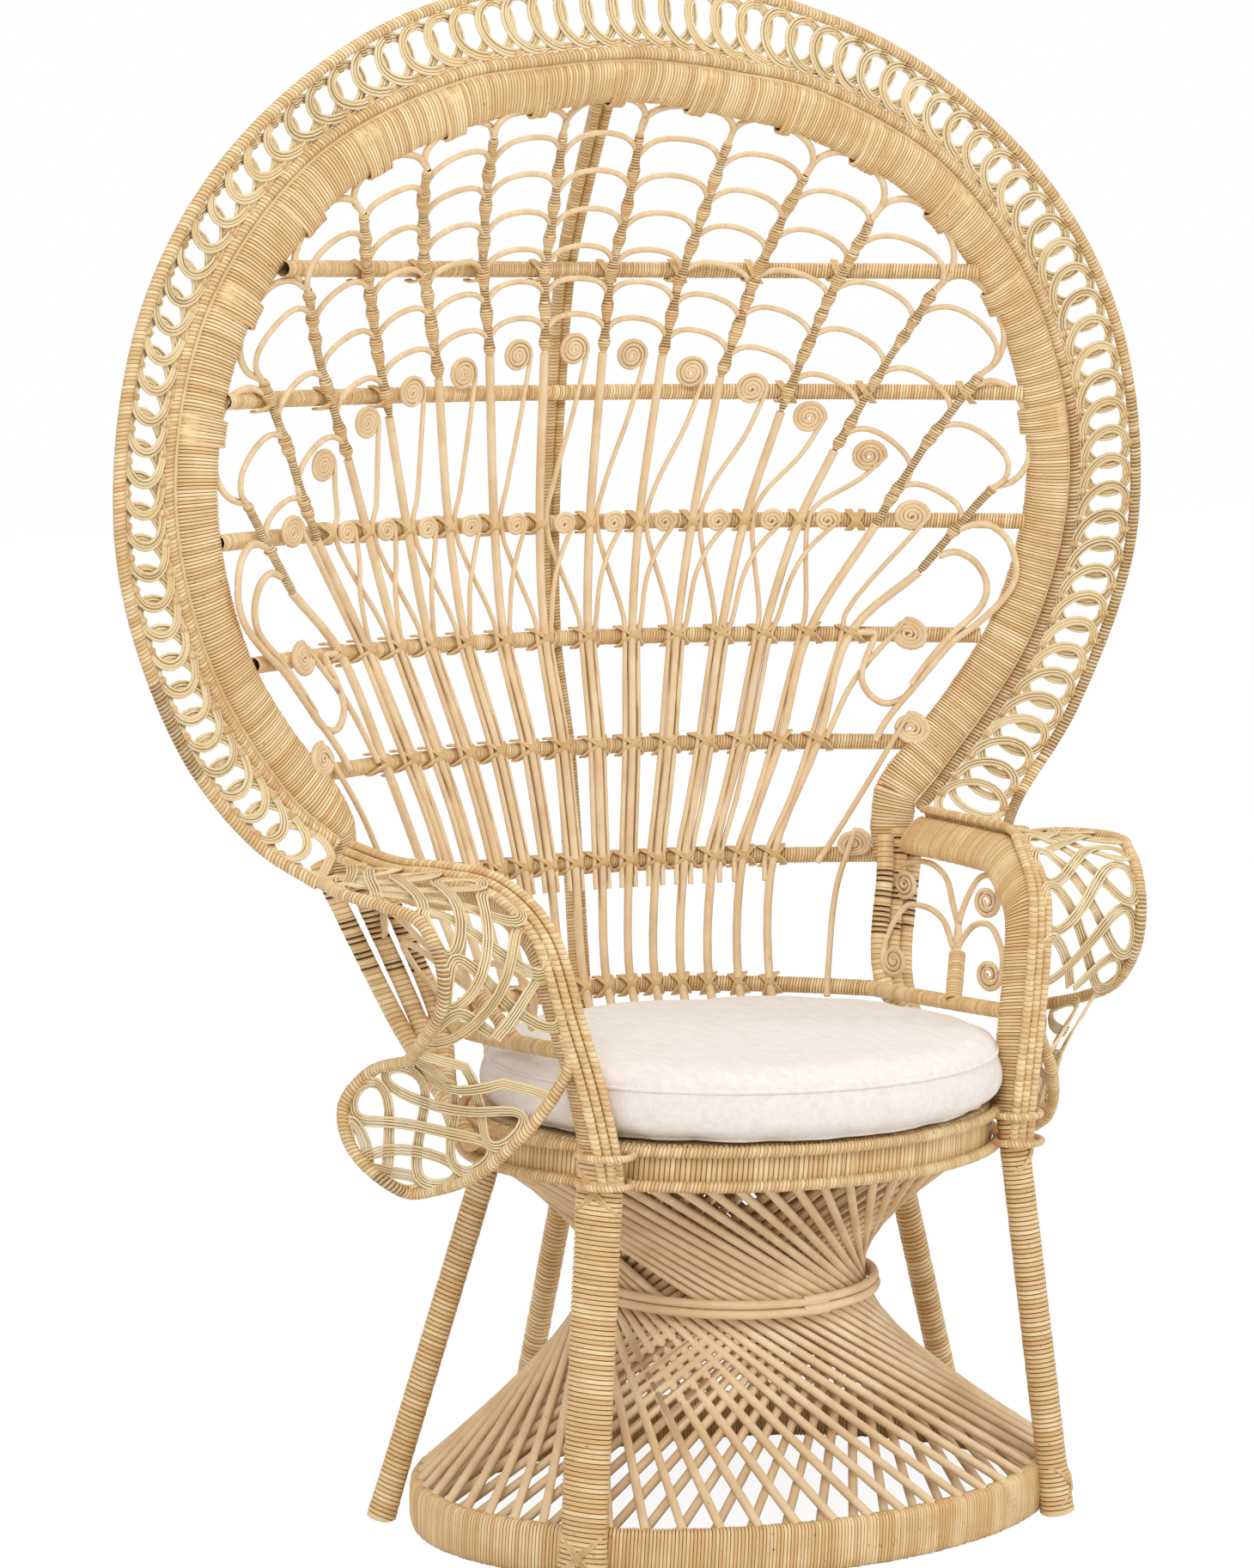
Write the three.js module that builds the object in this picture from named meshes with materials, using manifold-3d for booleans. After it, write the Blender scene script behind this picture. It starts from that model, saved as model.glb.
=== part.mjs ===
// Peacock chair: a wrapped rattan frame with a round scalloped back, twisted skirt and loose cushion.
// Millimetres, +Z up. The chair faces -Y and its feet stand on Z = 0.

import * as THREE from 'three';
import { mergeVertices } from 'three/addons/utils/BufferGeometryUtils.js';
import Module from 'manifold-3d';

const wasm = await Module();
wasm.setup();

// Clearance between pieces that rest on each other, and the wider ones that curved pieces need so
// that their straight facets stay clear of each other
const gap = 0.35;
const bandClearance = 2.3;
const stakeClearance = 1.2;
const bundleClearance = 0.7;
const scrollClearance = 1.75;
const crossingClearance = 2.4;
const spineClearance = 0.88;
const legClearance = 2.1;
const sideLegClearance = 1.05;
const strutClearance = 3.2;
const armClearance = 0.7;
const armStemClearance = 2.2;

// Round back: half width and height of the outer rim, its setting back and the depth of the bowl
const rimHalfWidth = 580;
const rimHeight = 1506;
const backSetting = 140;
const bowlDepth = 316;

// Rods of the round back
const rimRadius = 6;
const beadRadius = 6;
const bandWidth = 46;
const bandThickness = 24;
const laceLoops = 84;
// Loops stop this far from the middle of the rods they are tied to
const laceMargin = 7.75;
const laceRibbonWidth = 9;
const laceRibbonThickness = 4;
const railRadius = 8.5;
const spineRadius = 10;
const stakeRadius = 4.4;
const scrollRodRadius = 3;
const chainRadius = 6.5;
const archRodRadius = 3;
const archFlatShare = 0.65;
// The top of the fan leans to the left by this much above the height where the lean starts
const fanLean = 18;
const fanLeanStart = 1050;
const fanLeanRise = 300;
const upperScrollRadius = 16;
const lowerScrollRadius = 12.5;

// Base ring
const baseHalfWidth = 338;
const baseHalfDepth = 252;
const baseCentreY = -64;
const baseHeight = 49;
const baseThickness = 18;

// Seat ring, its two beads and the woven deck inside it
const seatHalfWidth = 279;
const seatHalfDepth = 244;
const seatCentreY = -49;
const seatHeight = 405;
const apronHeight = 36;
const apronThickness = 12;
const seatBeadRadius = 5.5;
const deckThickness = 9;

// Cushion
const cushionHalfWidth = 246;
const cushionHalfDepth = 236;
const cushionCentreY = -70;
const cushionSide = 55;
const cushionCrown = 17;
const cushionDrawIn = 8;

// Skirt of twisted stakes
const skirtStakes = 54;
const skirtStakeRadius = 3.9;
const skirtTwist = 1.12;
const collarHeight = 4;
const collarTaper = 8;
const legRoom = 5;
const waistRadius = 134;
const waistCentreY = -44;
const waistHeight = 226;
const hoopRadius = 4.5;
const upperHoopSpread = 0.8;
const lowerHoopSpread = 3.3;

// Legs: the front ones are oval and flare at the foot
const frontLegWidth = 40;
const frontLegThickness = 29;
const frontFootWidth = 46;
const frontLegTop = 396;
const sideLegRadius = 13.5;
const sideLegRoom = 9;
const rearLegRadius = 13;
const rearFootBack = 388;
// Legs are drawn this much too long and then cut level
const legOverrun = 12;

// Arms
const armPoleRadius = 4.6;
const armPoleCount = 3;
const armBandWidth = 44;
const armBandThickness = 22;
const armHalfWidth = 342;
const armHeight = 650;
const armReach = 204;
const armInsideHeight = 540;
const sideRailRadius = 8;
const armStemRadius = 6;
const armScrollRodRadius = 3.6;
const armScrollRadius = 15;

// Wings outside the arms, and the struts behind them
const wingHalfWidth = 441;
const wingRimRadius = 6;
const wingRibbonWidth = 10;
const wingRibbonThickness = 4;
const strutRadius = 9;

// Flat sides of the round rods, from the thinnest to the thickest
const archSides = 3;
const rodSides = 4;
const poleSides = 6;
const thickSides = 8;
const legSides = 10;

const namedMaterial = (name, colour, roughness) => {
  const material = new THREE.MeshStandardMaterial({ color: colour, roughness, metalness: 0 });
  material.name = name;
  return material;
};
const wrappedCane = namedMaterial('wrapped_cane', 0xd8ad74, 0.55);
const peeledRattan = namedMaterial('peeled_rattan', 0xdcbf92, 0.5);
const laceCane = namedMaterial('lace_cane', 0xd9cfa4, 0.5);
const canvasCloth = namedMaterial('canvas', 0xe9e2da, 0.9);

const model = new THREE.Group();
model.name = 'peacock_chair';

function addPiece(name, geometry, material) {
  const mesh = new THREE.Mesh(geometry, material);
  mesh.name = name;
  model.add(mesh);
}

// Helpers for points, paths and solids

const point = (x, y, z) => new THREE.Vector3(x, y, z);
const mix = (a, b, share) => a + (b - a) * share;
const mirrored = (points) => points.map((p) => point(-p.x, p.y, p.z));
const sideName = (side) => (side < 0 ? 'left' : 'right');
const fullTurn = 2 * Math.PI;

// Corners of a triangle, and numbers that hold one point
const triple = 3;

// A tetrahedron's share of the box that its three edges span
const tetrahedronShare = 1 / 6;

function signedVolume(positions, indices) {
  let total = 0;
  const [a, b, c] = [point(0, 0, 0), point(0, 0, 0), point(0, 0, 0)];
  for (let i = 0; i < indices.length; i += triple) {
    [a, b, c].forEach((corner, k) => corner.fromArray(positions, indices[i + k] * triple));
    total += a.dot(b.cross(c)) * tetrahedronShare;
  }
  return total;
}

function solidGeometry(positions, indices) {
  if (signedVolume(positions, indices) < 0) indices.reverse();
  const geometry = new THREE.BufferGeometry();
  geometry.setAttribute('position', new THREE.Float32BufferAttribute(positions, triple));
  geometry.setIndex(indices);
  return geometry;
}

// Collects the corners and faces of a solid that is drawn face by face
function faceList() {
  const positions = [];
  const indices = [];
  return {
    corner: (p) => {
      positions.push(p.x, p.y, p.z);
      return positions.length / triple - 1;
    },
    triangle: (a, b, c) => indices.push(a, b, c),
    quad: (a, b, c, d) => indices.push(a, b, c, a, c, d),
    solid: () => solidGeometry(positions, indices),
  };
}

// Sweeps a flat outline of [across, along] pairs along a path. facing(i) gives the direction of the
// outline's first axis at point i; without it the outline turns as little as it can.
function sweep(path, outline, { closed = false, facing = null, scale = () => 1 } = {}) {
  const faces = faceList();
  const count = path.length;
  const sides = outline.length;
  const side = point(0, 0, 0);
  for (let i = 0; i < count; i += 1) {
    const before = path[closed ? (i + count - 1) % count : Math.max(i - 1, 0)];
    const after = path[closed ? (i + 1) % count : Math.min(i + 1, count - 1)];
    const tangent = after.clone().sub(before).normalize();
    if (facing) side.copy(facing(i));
    else if (i === 0) side.set(tangent.z, tangent.x, tangent.y);
    side.addScaledVector(tangent, -side.dot(tangent)).normalize();
    const up = tangent.clone().cross(side);
    for (const [across, along] of outline) {
      const corner = path[i].clone();
      corner.addScaledVector(side, across).addScaledVector(up, along * scale(i));
      faces.corner(corner);
    }
  }
  const rings = closed ? count : count - 1;
  for (let i = 0; i < rings; i += 1) {
    const next = (i + 1) % count;
    for (let k = 0; k < sides; k += 1) {
      const nextSide = (k + 1) % sides;
      faces.quad(i * sides + k, i * sides + nextSide, next * sides + nextSide, next * sides + k);
    }
  }
  if (!closed) {
    const flat = outline.map(([x, y]) => new THREE.Vector2(x, y));
    const last = (count - 1) * sides;
    for (const [a, b, c] of THREE.ShapeUtils.triangulateShape(flat, [])) {
      faces.triangle(c, b, a);
      faces.triangle(last + a, last + b, last + c);
    }
  }
  return faces.solid();
}

// The outline's flats touch the oval, so that its first axis meets a flat
function ovalOutline(halfWidth, halfThickness, sides) {
  const outline = [];
  const cornerScale = 1 / Math.cos(Math.PI / sides);
  for (let k = 0; k < sides; k += 1) {
    const angle = (fullTurn * (k + 1 / 2)) / sides;
    const across = halfWidth * cornerScale * Math.cos(angle);
    outline.push([across, halfThickness * cornerScale * Math.sin(angle)]);
  }
  return outline;
}

const roundOutline = (radius, sides) => ovalOutline(radius, radius, sides);

// A bar with its two outer corners cut off by a share of its smaller side
function barOutline(width, thickness) {
  const cornerShare = 0.28;
  const x = width / 2;
  const y = thickness / 2;
  const cut = Math.min(width, thickness) * cornerShare;
  return [[x, -y + cut], [x, y - cut], [x - cut, y], [-x, y], [-x, -y], [x - cut, -y]];
}

// Rods side by side, in a row along the second axis
function rowOutline(radius, rods) {
  const end = rods * radius;
  const flat = end - radius;
  return [[0, -end], [radius, -flat], [radius, flat], [0, end], [-radius, flat], [-radius, -flat]];
}

function smoothPath(points, steps) {
  return new THREE.CatmullRomCurve3(points, false, 'centripetal').getSpacedPoints(steps);
}

function toManifold(geometry) {
  const bare = geometry.clone();
  bare.deleteAttribute('normal');
  bare.deleteAttribute('uv');
  const merged = mergeVertices(bare);
  return new wasm.Manifold(new wasm.Mesh({
    numProp: triple,
    vertProperties: new Float32Array(merged.attributes.position.array),
    triVerts: new Uint32Array(merged.index.array),
  }));
}

function fromManifold(manifold) {
  const mesh = manifold.getMesh();
  return solidGeometry(Array.from(mesh.vertProperties), Array.from(mesh.triVerts));
}

// Rods that are bound to each other become one solid
function fuse(geometries) {
  let joined = toManifold(geometries[0]);
  for (const geometry of geometries.slice(1)) joined = joined.add(toManifold(geometry));
  return fromManifold(joined);
}

// Keeps what lies between two heights, so that an end meets a level face squarely
function trimmed(geometry, low, high) {
  const reach = 2 * rimHeight;
  const slab = new THREE.BoxGeometry(reach, reach, high - low);
  slab.translate(0, 0, (low + high) / 2);
  return fromManifold(toManifold(geometry).intersect(toManifold(slab)));
}

// Straight-line reading of a table of [place, value] pairs
function readTable(table, place) {
  let index = 1;
  while (index < table.length - 1 && table[index][0] < place) index += 1;
  const [fromPlace, fromValue] = table[index - 1];
  const [toPlace, toValue] = table[index];
  const share = Math.min(Math.max((place - fromPlace) / (toPlace - fromPlace), 0), 1);
  return mix(fromValue, toValue, share);
}

const partLengths = (path) => path.map((p, i) => (i ? p.distanceTo(path[i - 1]) : 0));
const pathLength = (path) => partLengths(path).reduce((sum, length) => sum + length, 0);

// The point at a share of a path's length
function alongPath(path, share) {
  const lengths = partLengths(path);
  let left = share * pathLength(path);
  let index = 1;
  while (index < path.length - 1 && left > lengths[index]) {
    left -= lengths[index];
    index += 1;
  }
  return path[index - 1].clone().lerp(path[index], left / lengths[index]);
}

// Hoop of the round back, drawn for the right half from the top down to the waist:
// [share of the half width, share of the setting back, share of the height]
const rimShares = [[0, 1.12, 1], [0.3, 1.08, 0.985], [0.56, 0.98, 0.946], [0.82, 0.84, 0.863],
  [0.962, 0.76, 0.764], [0.996, 0.74, 0.627], [0.885, 0.8, 0.505], [0.759, 0.76, 0.442],
  [0.679, 0.47, 0.417]];
const beadShares = [[0, 1, 0.95], [0.2, 1, 0.943], [0.36, 1.02, 0.932], [0.63, 1, 0.881],
  [0.829, 0.96, 0.785], [0.897, 0.92, 0.668], [0.826, 0.97, 0.551], [0.655, 1.08, 0.458],
  [0.583, 1, 0.435]];
const innerShares = [[0, 1.2, 0.921], [0.16, 1.14, 0.915], [0.31, 1.1, 0.902], [0.576, 1.04, 0.853],
  [0.769, 1, 0.749], [0.803, 0.99, 0.651], [0.764, 1.06, 0.574], [0.622, 1.17, 0.484],
  [0.53, 1.12, 0.434]];
const hoopSteps = 32;

function hoopPath(shares) {
  const half = shares.map(([wide, set, high]) =>
    point(wide * rimHalfWidth, set * backSetting, high * rimHeight));
  const whole = [...mirrored(half.slice(1)).reverse(), ...half];
  return new THREE.CatmullRomCurve3(whole, false, 'centripetal').getPoints(hoopSteps);
}

const rimPath = hoopPath(rimShares);
const beadPath = hoopPath(beadShares);
const innerPath = hoopPath(innerShares);

// Direction from the beaded pole to the inside of the hoop, square to the pole
function hoopAcross(i) {
  const before = beadPath[Math.max(i - 1, 0)];
  const after = beadPath[Math.min(i + 1, beadPath.length - 1)];
  const tangent = after.clone().sub(before).normalize();
  const across = innerPath[i].clone().sub(beadPath[i]);
  return across.addScaledVector(tangent, -across.dot(tangent)).normalize();
}

// The wide wrapped band lies on the inner side of the beaded pole
function archBand() {
  const path = beadPath.map((p, i) =>
    p.clone().addScaledVector(hoopAcross(i), beadRadius + bandClearance + bandWidth / 2));
  return sweep(path, ovalOutline(bandWidth / 2, bandThickness / 2, poleSides), { facing: hoopAcross });
}

const archBead = () => sweep(beadPath, roundOutline(beadRadius, poleSides), { facing: hoopAcross });
const archRim = () => sweep(rimPath, roundOutline(rimRadius, poleSides), {
  facing: (i) => rimPath[i].clone().sub(beadPath[i]),
});

// A flat net of one row of loops between two curves. Crossings lie halfway, crowns near the outer
// curve and feet near the inner one. netPoint gives its corners: across is 0 at a crossing, 1 at a
// crown, 2 at the crown's other edge, and the same below 0 for a foot.
function netPoint(net, share, across, level) {
  const sampleShare = 1 / 4;
  const inner = alongPath(net.inner, share);
  const outer = alongPath(net.outer, share);
  const step = sampleShare / net.loops;
  const ahead = alongPath(net.outer, Math.min(share + step, 1));
  const behind = alongPath(net.outer, Math.max(share - step, 0));
  const tangent = ahead.sub(behind).normalize();
  const normal = outer.clone().sub(inner).cross(tangent).normalize();
  const out = outer.clone().sub(inner).normalize();
  const reach = outer.distanceTo(inner) / 2;
  const slant = out.dot(tangent);
  const side = Math.sign(across);
  const margin = (side > 0 ? net.outerMargin : net.innerMargin) / Math.sqrt(1 - slant ** 2);
  const swing = side * (reach - margin) - (across - side) * net.width;
  const place = inner.clone().lerp(outer, 1 / 2).addScaledVector(out, across === 0 ? 0 : swing);
  return place.addScaledVector(normal, (level * net.thickness) / 2);
}

// The upper and lower corner of a crossing, on one face of the net
function netCrossing(net, share, level) {
  const out = alongPath(net.outer, share).sub(alongPath(net.inner, share)).normalize();
  const corner = (sign) => net.faces.corner(
    netPoint(net, share, 0, level).addScaledVector(out, (sign * net.width) / 2));
  return { top: corner(1), low: corner(-1) };
}

// The flat face of one loop, seen from the side that level names
function netFace(net, side, start, end, level) {
  const { faces } = net;
  const flip = level < 0;
  const quad = (a, b, c, d) => (flip ? faces.quad(d, c, b, a) : faces.quad(a, b, c, d));
  const triangle = (a, b, c) => (flip ? faces.triangle(c, b, a) : faces.triangle(a, b, c));
  quad(start.top, side.left, side.crownIn, side.crown);
  quad(side.crown, side.crownIn, side.right, end.top);
  quad(start.low, side.foot, side.footIn, side.left);
  quad(side.foot, end.low, side.right, side.footIn);
  triangle(start.low, side.left, start.top);
  triangle(side.right, end.low, end.top);
}

function loopChain(inner, outer, loops, [innerMargin, outerMargin], width, thickness) {
  const faces = faceList();
  const net = { faces, inner, outer, loops, innerMargin, outerMargin, width, thickness };
  const half = width / pathLength(inner);
  const shareAt = (k) => mix(half, 1 - half, k / loops);
  const knots = [];
  for (let k = 0; k <= loops; k += 1) {
    knots.push([-1, 1].map((level) => netCrossing(net, shareAt(k), level)));
  }
  for (let k = 0; k < loops; k += 1) {
    const middle = shareAt(k + 1 / 2);
    const [low, high] = [-1, 1].map((level) => ({
      crown: faces.corner(netPoint(net, middle, 1, level)),
      crownIn: faces.corner(netPoint(net, middle, 2, level)),
      foot: faces.corner(netPoint(net, middle, -1, level)),
      footIn: faces.corner(netPoint(net, middle, -2, level)),
      left: faces.corner(netPoint(net, shareAt(k) + half, 0, level)),
      right: faces.corner(netPoint(net, shareAt(k + 1) - half, 0, level)),
    }));
    const [startLow, startHigh] = knots[k];
    const [endLow, endHigh] = knots[k + 1];
    netFace(net, high, startHigh, endHigh, 1);
    netFace(net, low, startLow, endLow, -1);
    const wall = (a, b) => faces.quad(a[0], a[1], b[1], b[0]);
    const pair = (name) => [low[name], high[name]];
    const startTop = [startLow.top, startHigh.top];
    const endTop = [endLow.top, endHigh.top];
    const startFoot = [startLow.low, startHigh.low];
    const endFoot = [endLow.low, endHigh.low];
    wall(startTop, pair('crown'));
    wall(pair('crown'), endTop);
    wall(endFoot, pair('foot'));
    wall(pair('foot'), startFoot);
    wall(pair('crownIn'), pair('left'));
    wall(pair('right'), pair('crownIn'));
    wall(pair('left'), pair('footIn'));
    wall(pair('footIn'), pair('right'));
    if (k === 0) wall(startFoot, startTop);
    if (k === loops - 1) wall(endTop, endFoot);
  }
  return faces.solid();
}

const laceRing = () =>
  loopChain(beadPath, rimPath, laceLoops, [laceMargin, laceMargin], laceRibbonWidth, laceRibbonThickness);

// Bowl of the back. Shares of the height lead to shares of the bowl's depth on the centre line, of
// the half width at the bowl's edge and of the setting back there.
const centreShares = [[0.25, 0.69], [0.315, 0.769], [0.4, 0.826], [0.479, 0.886], [0.553, 0.984],
  [0.633, 1], [0.723, 0.959], [0.807, 0.892], [0.857, 0.76], [0.921, 0.62]];
const edgeWidthShares = [[0.315, 0.462], [0.4, 0.56], [0.428, 0.53], [0.484, 0.622], [0.574, 0.764],
  [0.651, 0.803], [0.749, 0.769], [0.853, 0.576], [0.902, 0.31], [0.921, 0.1]];
const edgeDepthShares = [[0.25, 0.6], [0.315, 0.68], [0.4, 1.25], [0.484, 1.18], [0.574, 1.06],
  [0.651, 1], [0.749, 1], [0.853, 1.04], [0.902, 1.1], [0.921, 1.2]];

function bowlY(x, z) {
  const deepestShare = 1.2;
  const height = z / rimHeight;
  const centre = readTable(centreShares, height) * bowlDepth;
  const edge = readTable(edgeDepthShares, height) * backSetting;
  const width = readTable(edgeWidthShares, height) * rimHalfWidth;
  return edge + (centre - edge) * (1 - Math.min((x / width) ** 2, deepestShare));
}

// Direction out of the bowl towards the sitter
function bowlNormal(x, z) {
  const step = railRadius;
  const slopeX = (bowlY(x + step, z) - bowlY(x - step, z)) / (2 * step);
  const slopeZ = (bowlY(x, z + step) - bowlY(x, z - step)) / (2 * step);
  return point(slopeX, -1, slopeZ).normalize();
}

const bowlPoint = (x, z, forward) => point(x, bowlY(x, z), z).addScaledVector(bowlNormal(x, z), forward);

const bowlSweep = (path, radius, sides) =>
  sweep(path, roundOutline(radius, sides), { facing: (i) => bowlNormal(path[i].x, path[i].z) });

// Wrapped chains of the scalloped screen, from the centre out: [share of the half width, of the height]
const chainShares = [
  [[0.082, 0.903], [0.074, 0.845], [0.06, 0.752]],
  [[0.246, 0.9], [0.207, 0.812], [0.178, 0.75]],
  [[0.388, 0.878], [0.342, 0.808], [0.29, 0.735]],
  [[0.517, 0.846], [0.46, 0.78], [0.402, 0.71]],
  [[0.634, 0.797], [0.572, 0.742], [0.498, 0.683]],
  [[0.725, 0.737], [0.647, 0.688], [0.572, 0.63]],
  [[0.756, 0.658], [0.7, 0.628], [0.64, 0.597]],
];
const chainCount = chainShares.length;
const positionCount = 2 * chainCount;

// Long stakes below the chains: shares of the half width at rails 3 to 7
const stakeShares = [
  [0.052, 0.045, 0.036, 0.028, 0.024],
  [0.15, 0.133, 0.106, 0.083, 0.072],
  [0.252, 0.219, 0.177, 0.138, 0.119],
  [0.348, 0.301, 0.247, 0.193, 0.167],
  [0.445, 0.378, 0.315, 0.248, 0.214],
  [0.54, 0.455, 0.382, 0.303, 0.262],
  [0.6, 0.525, 0.447, 0.358, 0.31],
];

// Cross rails from the top one down: [share of the height, share of the half width at their ends]
const railShares = [[0.807, 0.665], [0.723, 0.768], [0.633, 0.78], [0.553, 0.705], [0.479, 0.575],
  [0.4, 0.525], [0.3147, 0.455]];
const railHeights = railShares.map(([high]) => high * rimHeight);
const firstStakeRail = 3;

// Positions run from left to right, so that every scroll can curl the same way
function chainOf(position) {
  const side = position < chainCount ? -1 : 1;
  const chain = side < 0 ? chainCount - 1 - position : position - chainCount;
  return { side, chain };
}

function chainPlace(position, share) {
  const { side, chain } = chainOf(position);
  const place = alongPath(chainShares[chain].map(([wide, high]) => point(wide, 0, high)), share);
  const height = place.z * rimHeight;
  const lean = fanLean * (Math.max(height - fanLeanStart, 0) / fanLeanRise) ** 2;
  return { x: side * place.x * rimHalfWidth - lean, z: height };
}

function stakePlace(position, rail) {
  const { side, chain } = chainOf(position);
  return { x: side * stakeShares[chain][rail - firstStakeRail] * rimHalfWidth, z: railHeights[rail - 1] };
}

// Scrolls under the scallops, from the centre column out: [share of the half width, of the height]
const scrollShares = [[0, 0.754], [0.117, 0.75], [0.234, 0.738], [0.348, 0.726], [0.452, 0.706],
  [0.556, 0.679], [0.63, 0.636]];

function scrollPlace(position) {
  const column = position - chainCount;
  const [wide, high] = scrollShares[Math.min(Math.abs(column), scrollShares.length - 1)];
  return { x: Math.sign(column) * wide * rimHalfWidth, z: high * rimHeight };
}

// A rail passes through its true place wherever a chain or stake crosses it, and halfway between
// crossings that lie far apart
function railCrossings(rail) {
  const longestRun = 60;
  const places = [];
  const height = railHeights[rail - 1];
  for (let position = 0; position < positionCount; position += 1) {
    if (rail >= firstStakeRail) places.push(stakePlace(position, rail).x);
    const top = chainPlace(position, 0);
    const foot = chainPlace(position, 1);
    const share = (top.z - height) / (top.z - foot.z);
    if (share > 0 && share < 1) places.push(chainPlace(position, share).x);
    const coil = scrollPlace(position);
    if (position > 0 && Math.abs(coil.z - height) < railHeights[0] - railHeights[1]) places.push(coil.x);
    if (rail === firstStakeRail && position > 0) {
      places.push((stakePlace(position - 1, rail).x + stakePlace(position, rail).x) / 2);
    }
  }
  const spread = [...places].sort((a, b) => a - b);
  const kept = spread.filter((x, i) => i === 0 || x - spread[i - 1] > railRadius);
  return kept.flatMap((x, i) => (i && x - kept[i - 1] > longestRun ? [(x + kept[i - 1]) / 2, x] : [x]));
}

function crossRail(rail) {
  const [high, wide] = railShares[rail - 1];
  const end = wide * rimHalfWidth;
  const inner = railCrossings(rail).filter((x) => Math.abs(x) < end - 2 * railRadius);
  const path = [-end, ...inner, end].map((x) => bowlPoint(x, high * rimHeight, 0));
  return bowlSweep(path, railRadius, poleSides);
}

const spineBehind = railRadius + spineClearance + spineRadius;
const spineTopShare = 0.9;

function backSpine() {
  const heights = [seatHeight - legOverrun, ...[...railHeights].reverse(), spineTopShare * rimHeight];
  const path = heights.map((z) => bowlPoint(0, z, -spineBehind));
  return trimmed(bowlSweep(path, spineRadius, thickSides), seatHeight + gap, rimHeight);
}

// The scalloped screen: bent rods between neighbouring chains. The first joins their tops, and those
// below are [rows, left start, left end, right start, right end] in shares of the two chains'
// lengths, from the centre column out.
const archRowShares = [
  [6, 0.18, 0.96, 0.18, 0.96],
  [6, 0.18, 0.96, 0.19, 0.98],
  [6, 0.18, 0.98, 0.15, 0.96],
  [5, 0.18, 0.95, 0.13, 0.9],
  [4, 0.2, 0.89, 0.04, 0.83],
  [3, 0.19, 0.95, 0.01, 0.77],
  [2, 0.45, 0.83, 0.01, 0.53],
];
const lastColumnTopShare = 0.1;
const chainForward = railRadius + gap + chainRadius;

function archRod(from, to, riseShare) {
  const crownShares = [[0, 0], [0.17, 0.72], [0.5, 1], [0.83, 0.72], [1, 0]];
  const dx = to.x - from.x;
  const dz = to.z - from.z;
  const path = crownShares.map(([share, rise]) => {
    const x = mix(from.x, to.x, share) - dz * rise * riseShare * Math.sign(dx);
    const z = mix(from.z, to.z, share) + Math.abs(dx) * rise * riseShare;
    return bowlPoint(x, z, chainForward);
  });
  return bowlSweep(path, archRodRadius * archFlatShare, archSides);
}

function scallopScreen() {
  const riseShare = 0.42;
  const topRiseShare = 0.16;
  const chainSteps = 4;
  const pieces = [];
  for (let position = 0; position < positionCount; position += 1) {
    const path = [];
    for (let i = 0; i <= chainSteps; i += 1) {
      const place = chainPlace(position, i / chainSteps);
      path.push(bowlPoint(place.x, place.z, chainForward));
    }
    pieces.push(bowlSweep(path, chainRadius, rodSides));
  }
  for (let position = 1; position < positionCount; position += 1) {
    const column = Math.abs(position - chainCount);
    const [rows, innerStart, innerEnd, outerStart, outerEnd] = archRowShares[column];
    const places = [[column === chainCount - 1 ? lastColumnTopShare : 0, 0]];
    for (let row = 0; row < rows; row += 1) {
      const share = row / (rows - 1);
      places.push([mix(innerStart, innerEnd, share), mix(outerStart, outerEnd, share)]);
    }
    places.forEach(([inner, outer], row) => {
      const shares = position <= chainCount ? [outer, inner] : [inner, outer];
      const ends = shares.map((share, k) => chainPlace(position - 1 + k, share));
      pieces.push(archRod(...ends, row === 0 ? topRiseShare : riseShare));
    });
  }
  return fuse(pieces);
}

const stakeForward = railRadius + stakeClearance + stakeRadius;
const scrollForward = railRadius + scrollClearance + scrollRodRadius;

const seatBandHalfWidth = seatHalfWidth - 2 * seatBeadRadius - gap - apronThickness / 2;
const seatBandHalfDepth = seatHalfDepth - 2 * seatBeadRadius - gap - apronThickness / 2;

function seatRearY(x) {
  return seatCentreY + seatBandHalfDepth * Math.sqrt(1 - (x / seatBandHalfWidth) ** 2);
}

// A tightly curled rod end: the coil has no gaps, so it is a round button facing the sitter
function scrollCoil(place, radius, forward) {
  const steps = [-scrollRodRadius, scrollRodRadius];
  const path = steps.map((step) => bowlPoint(place.x, place.z, forward + step));
  return sweep(path, roundOutline(radius, thickSides));
}

// Where the scrolled rods come alongside the stake, just above the fourth rail, and are cut off
const joinShare = 0.2;
const joinRail = firstStakeRail + 1;
const cutRail = joinRail + 2;

function stakeBetween(position, rail, share) {
  const above = stakePlace(position, rail - 1);
  const below = stakePlace(position, rail);
  return { x: mix(below.x, above.x, share), z: mix(below.z, above.z, share) };
}

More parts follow.
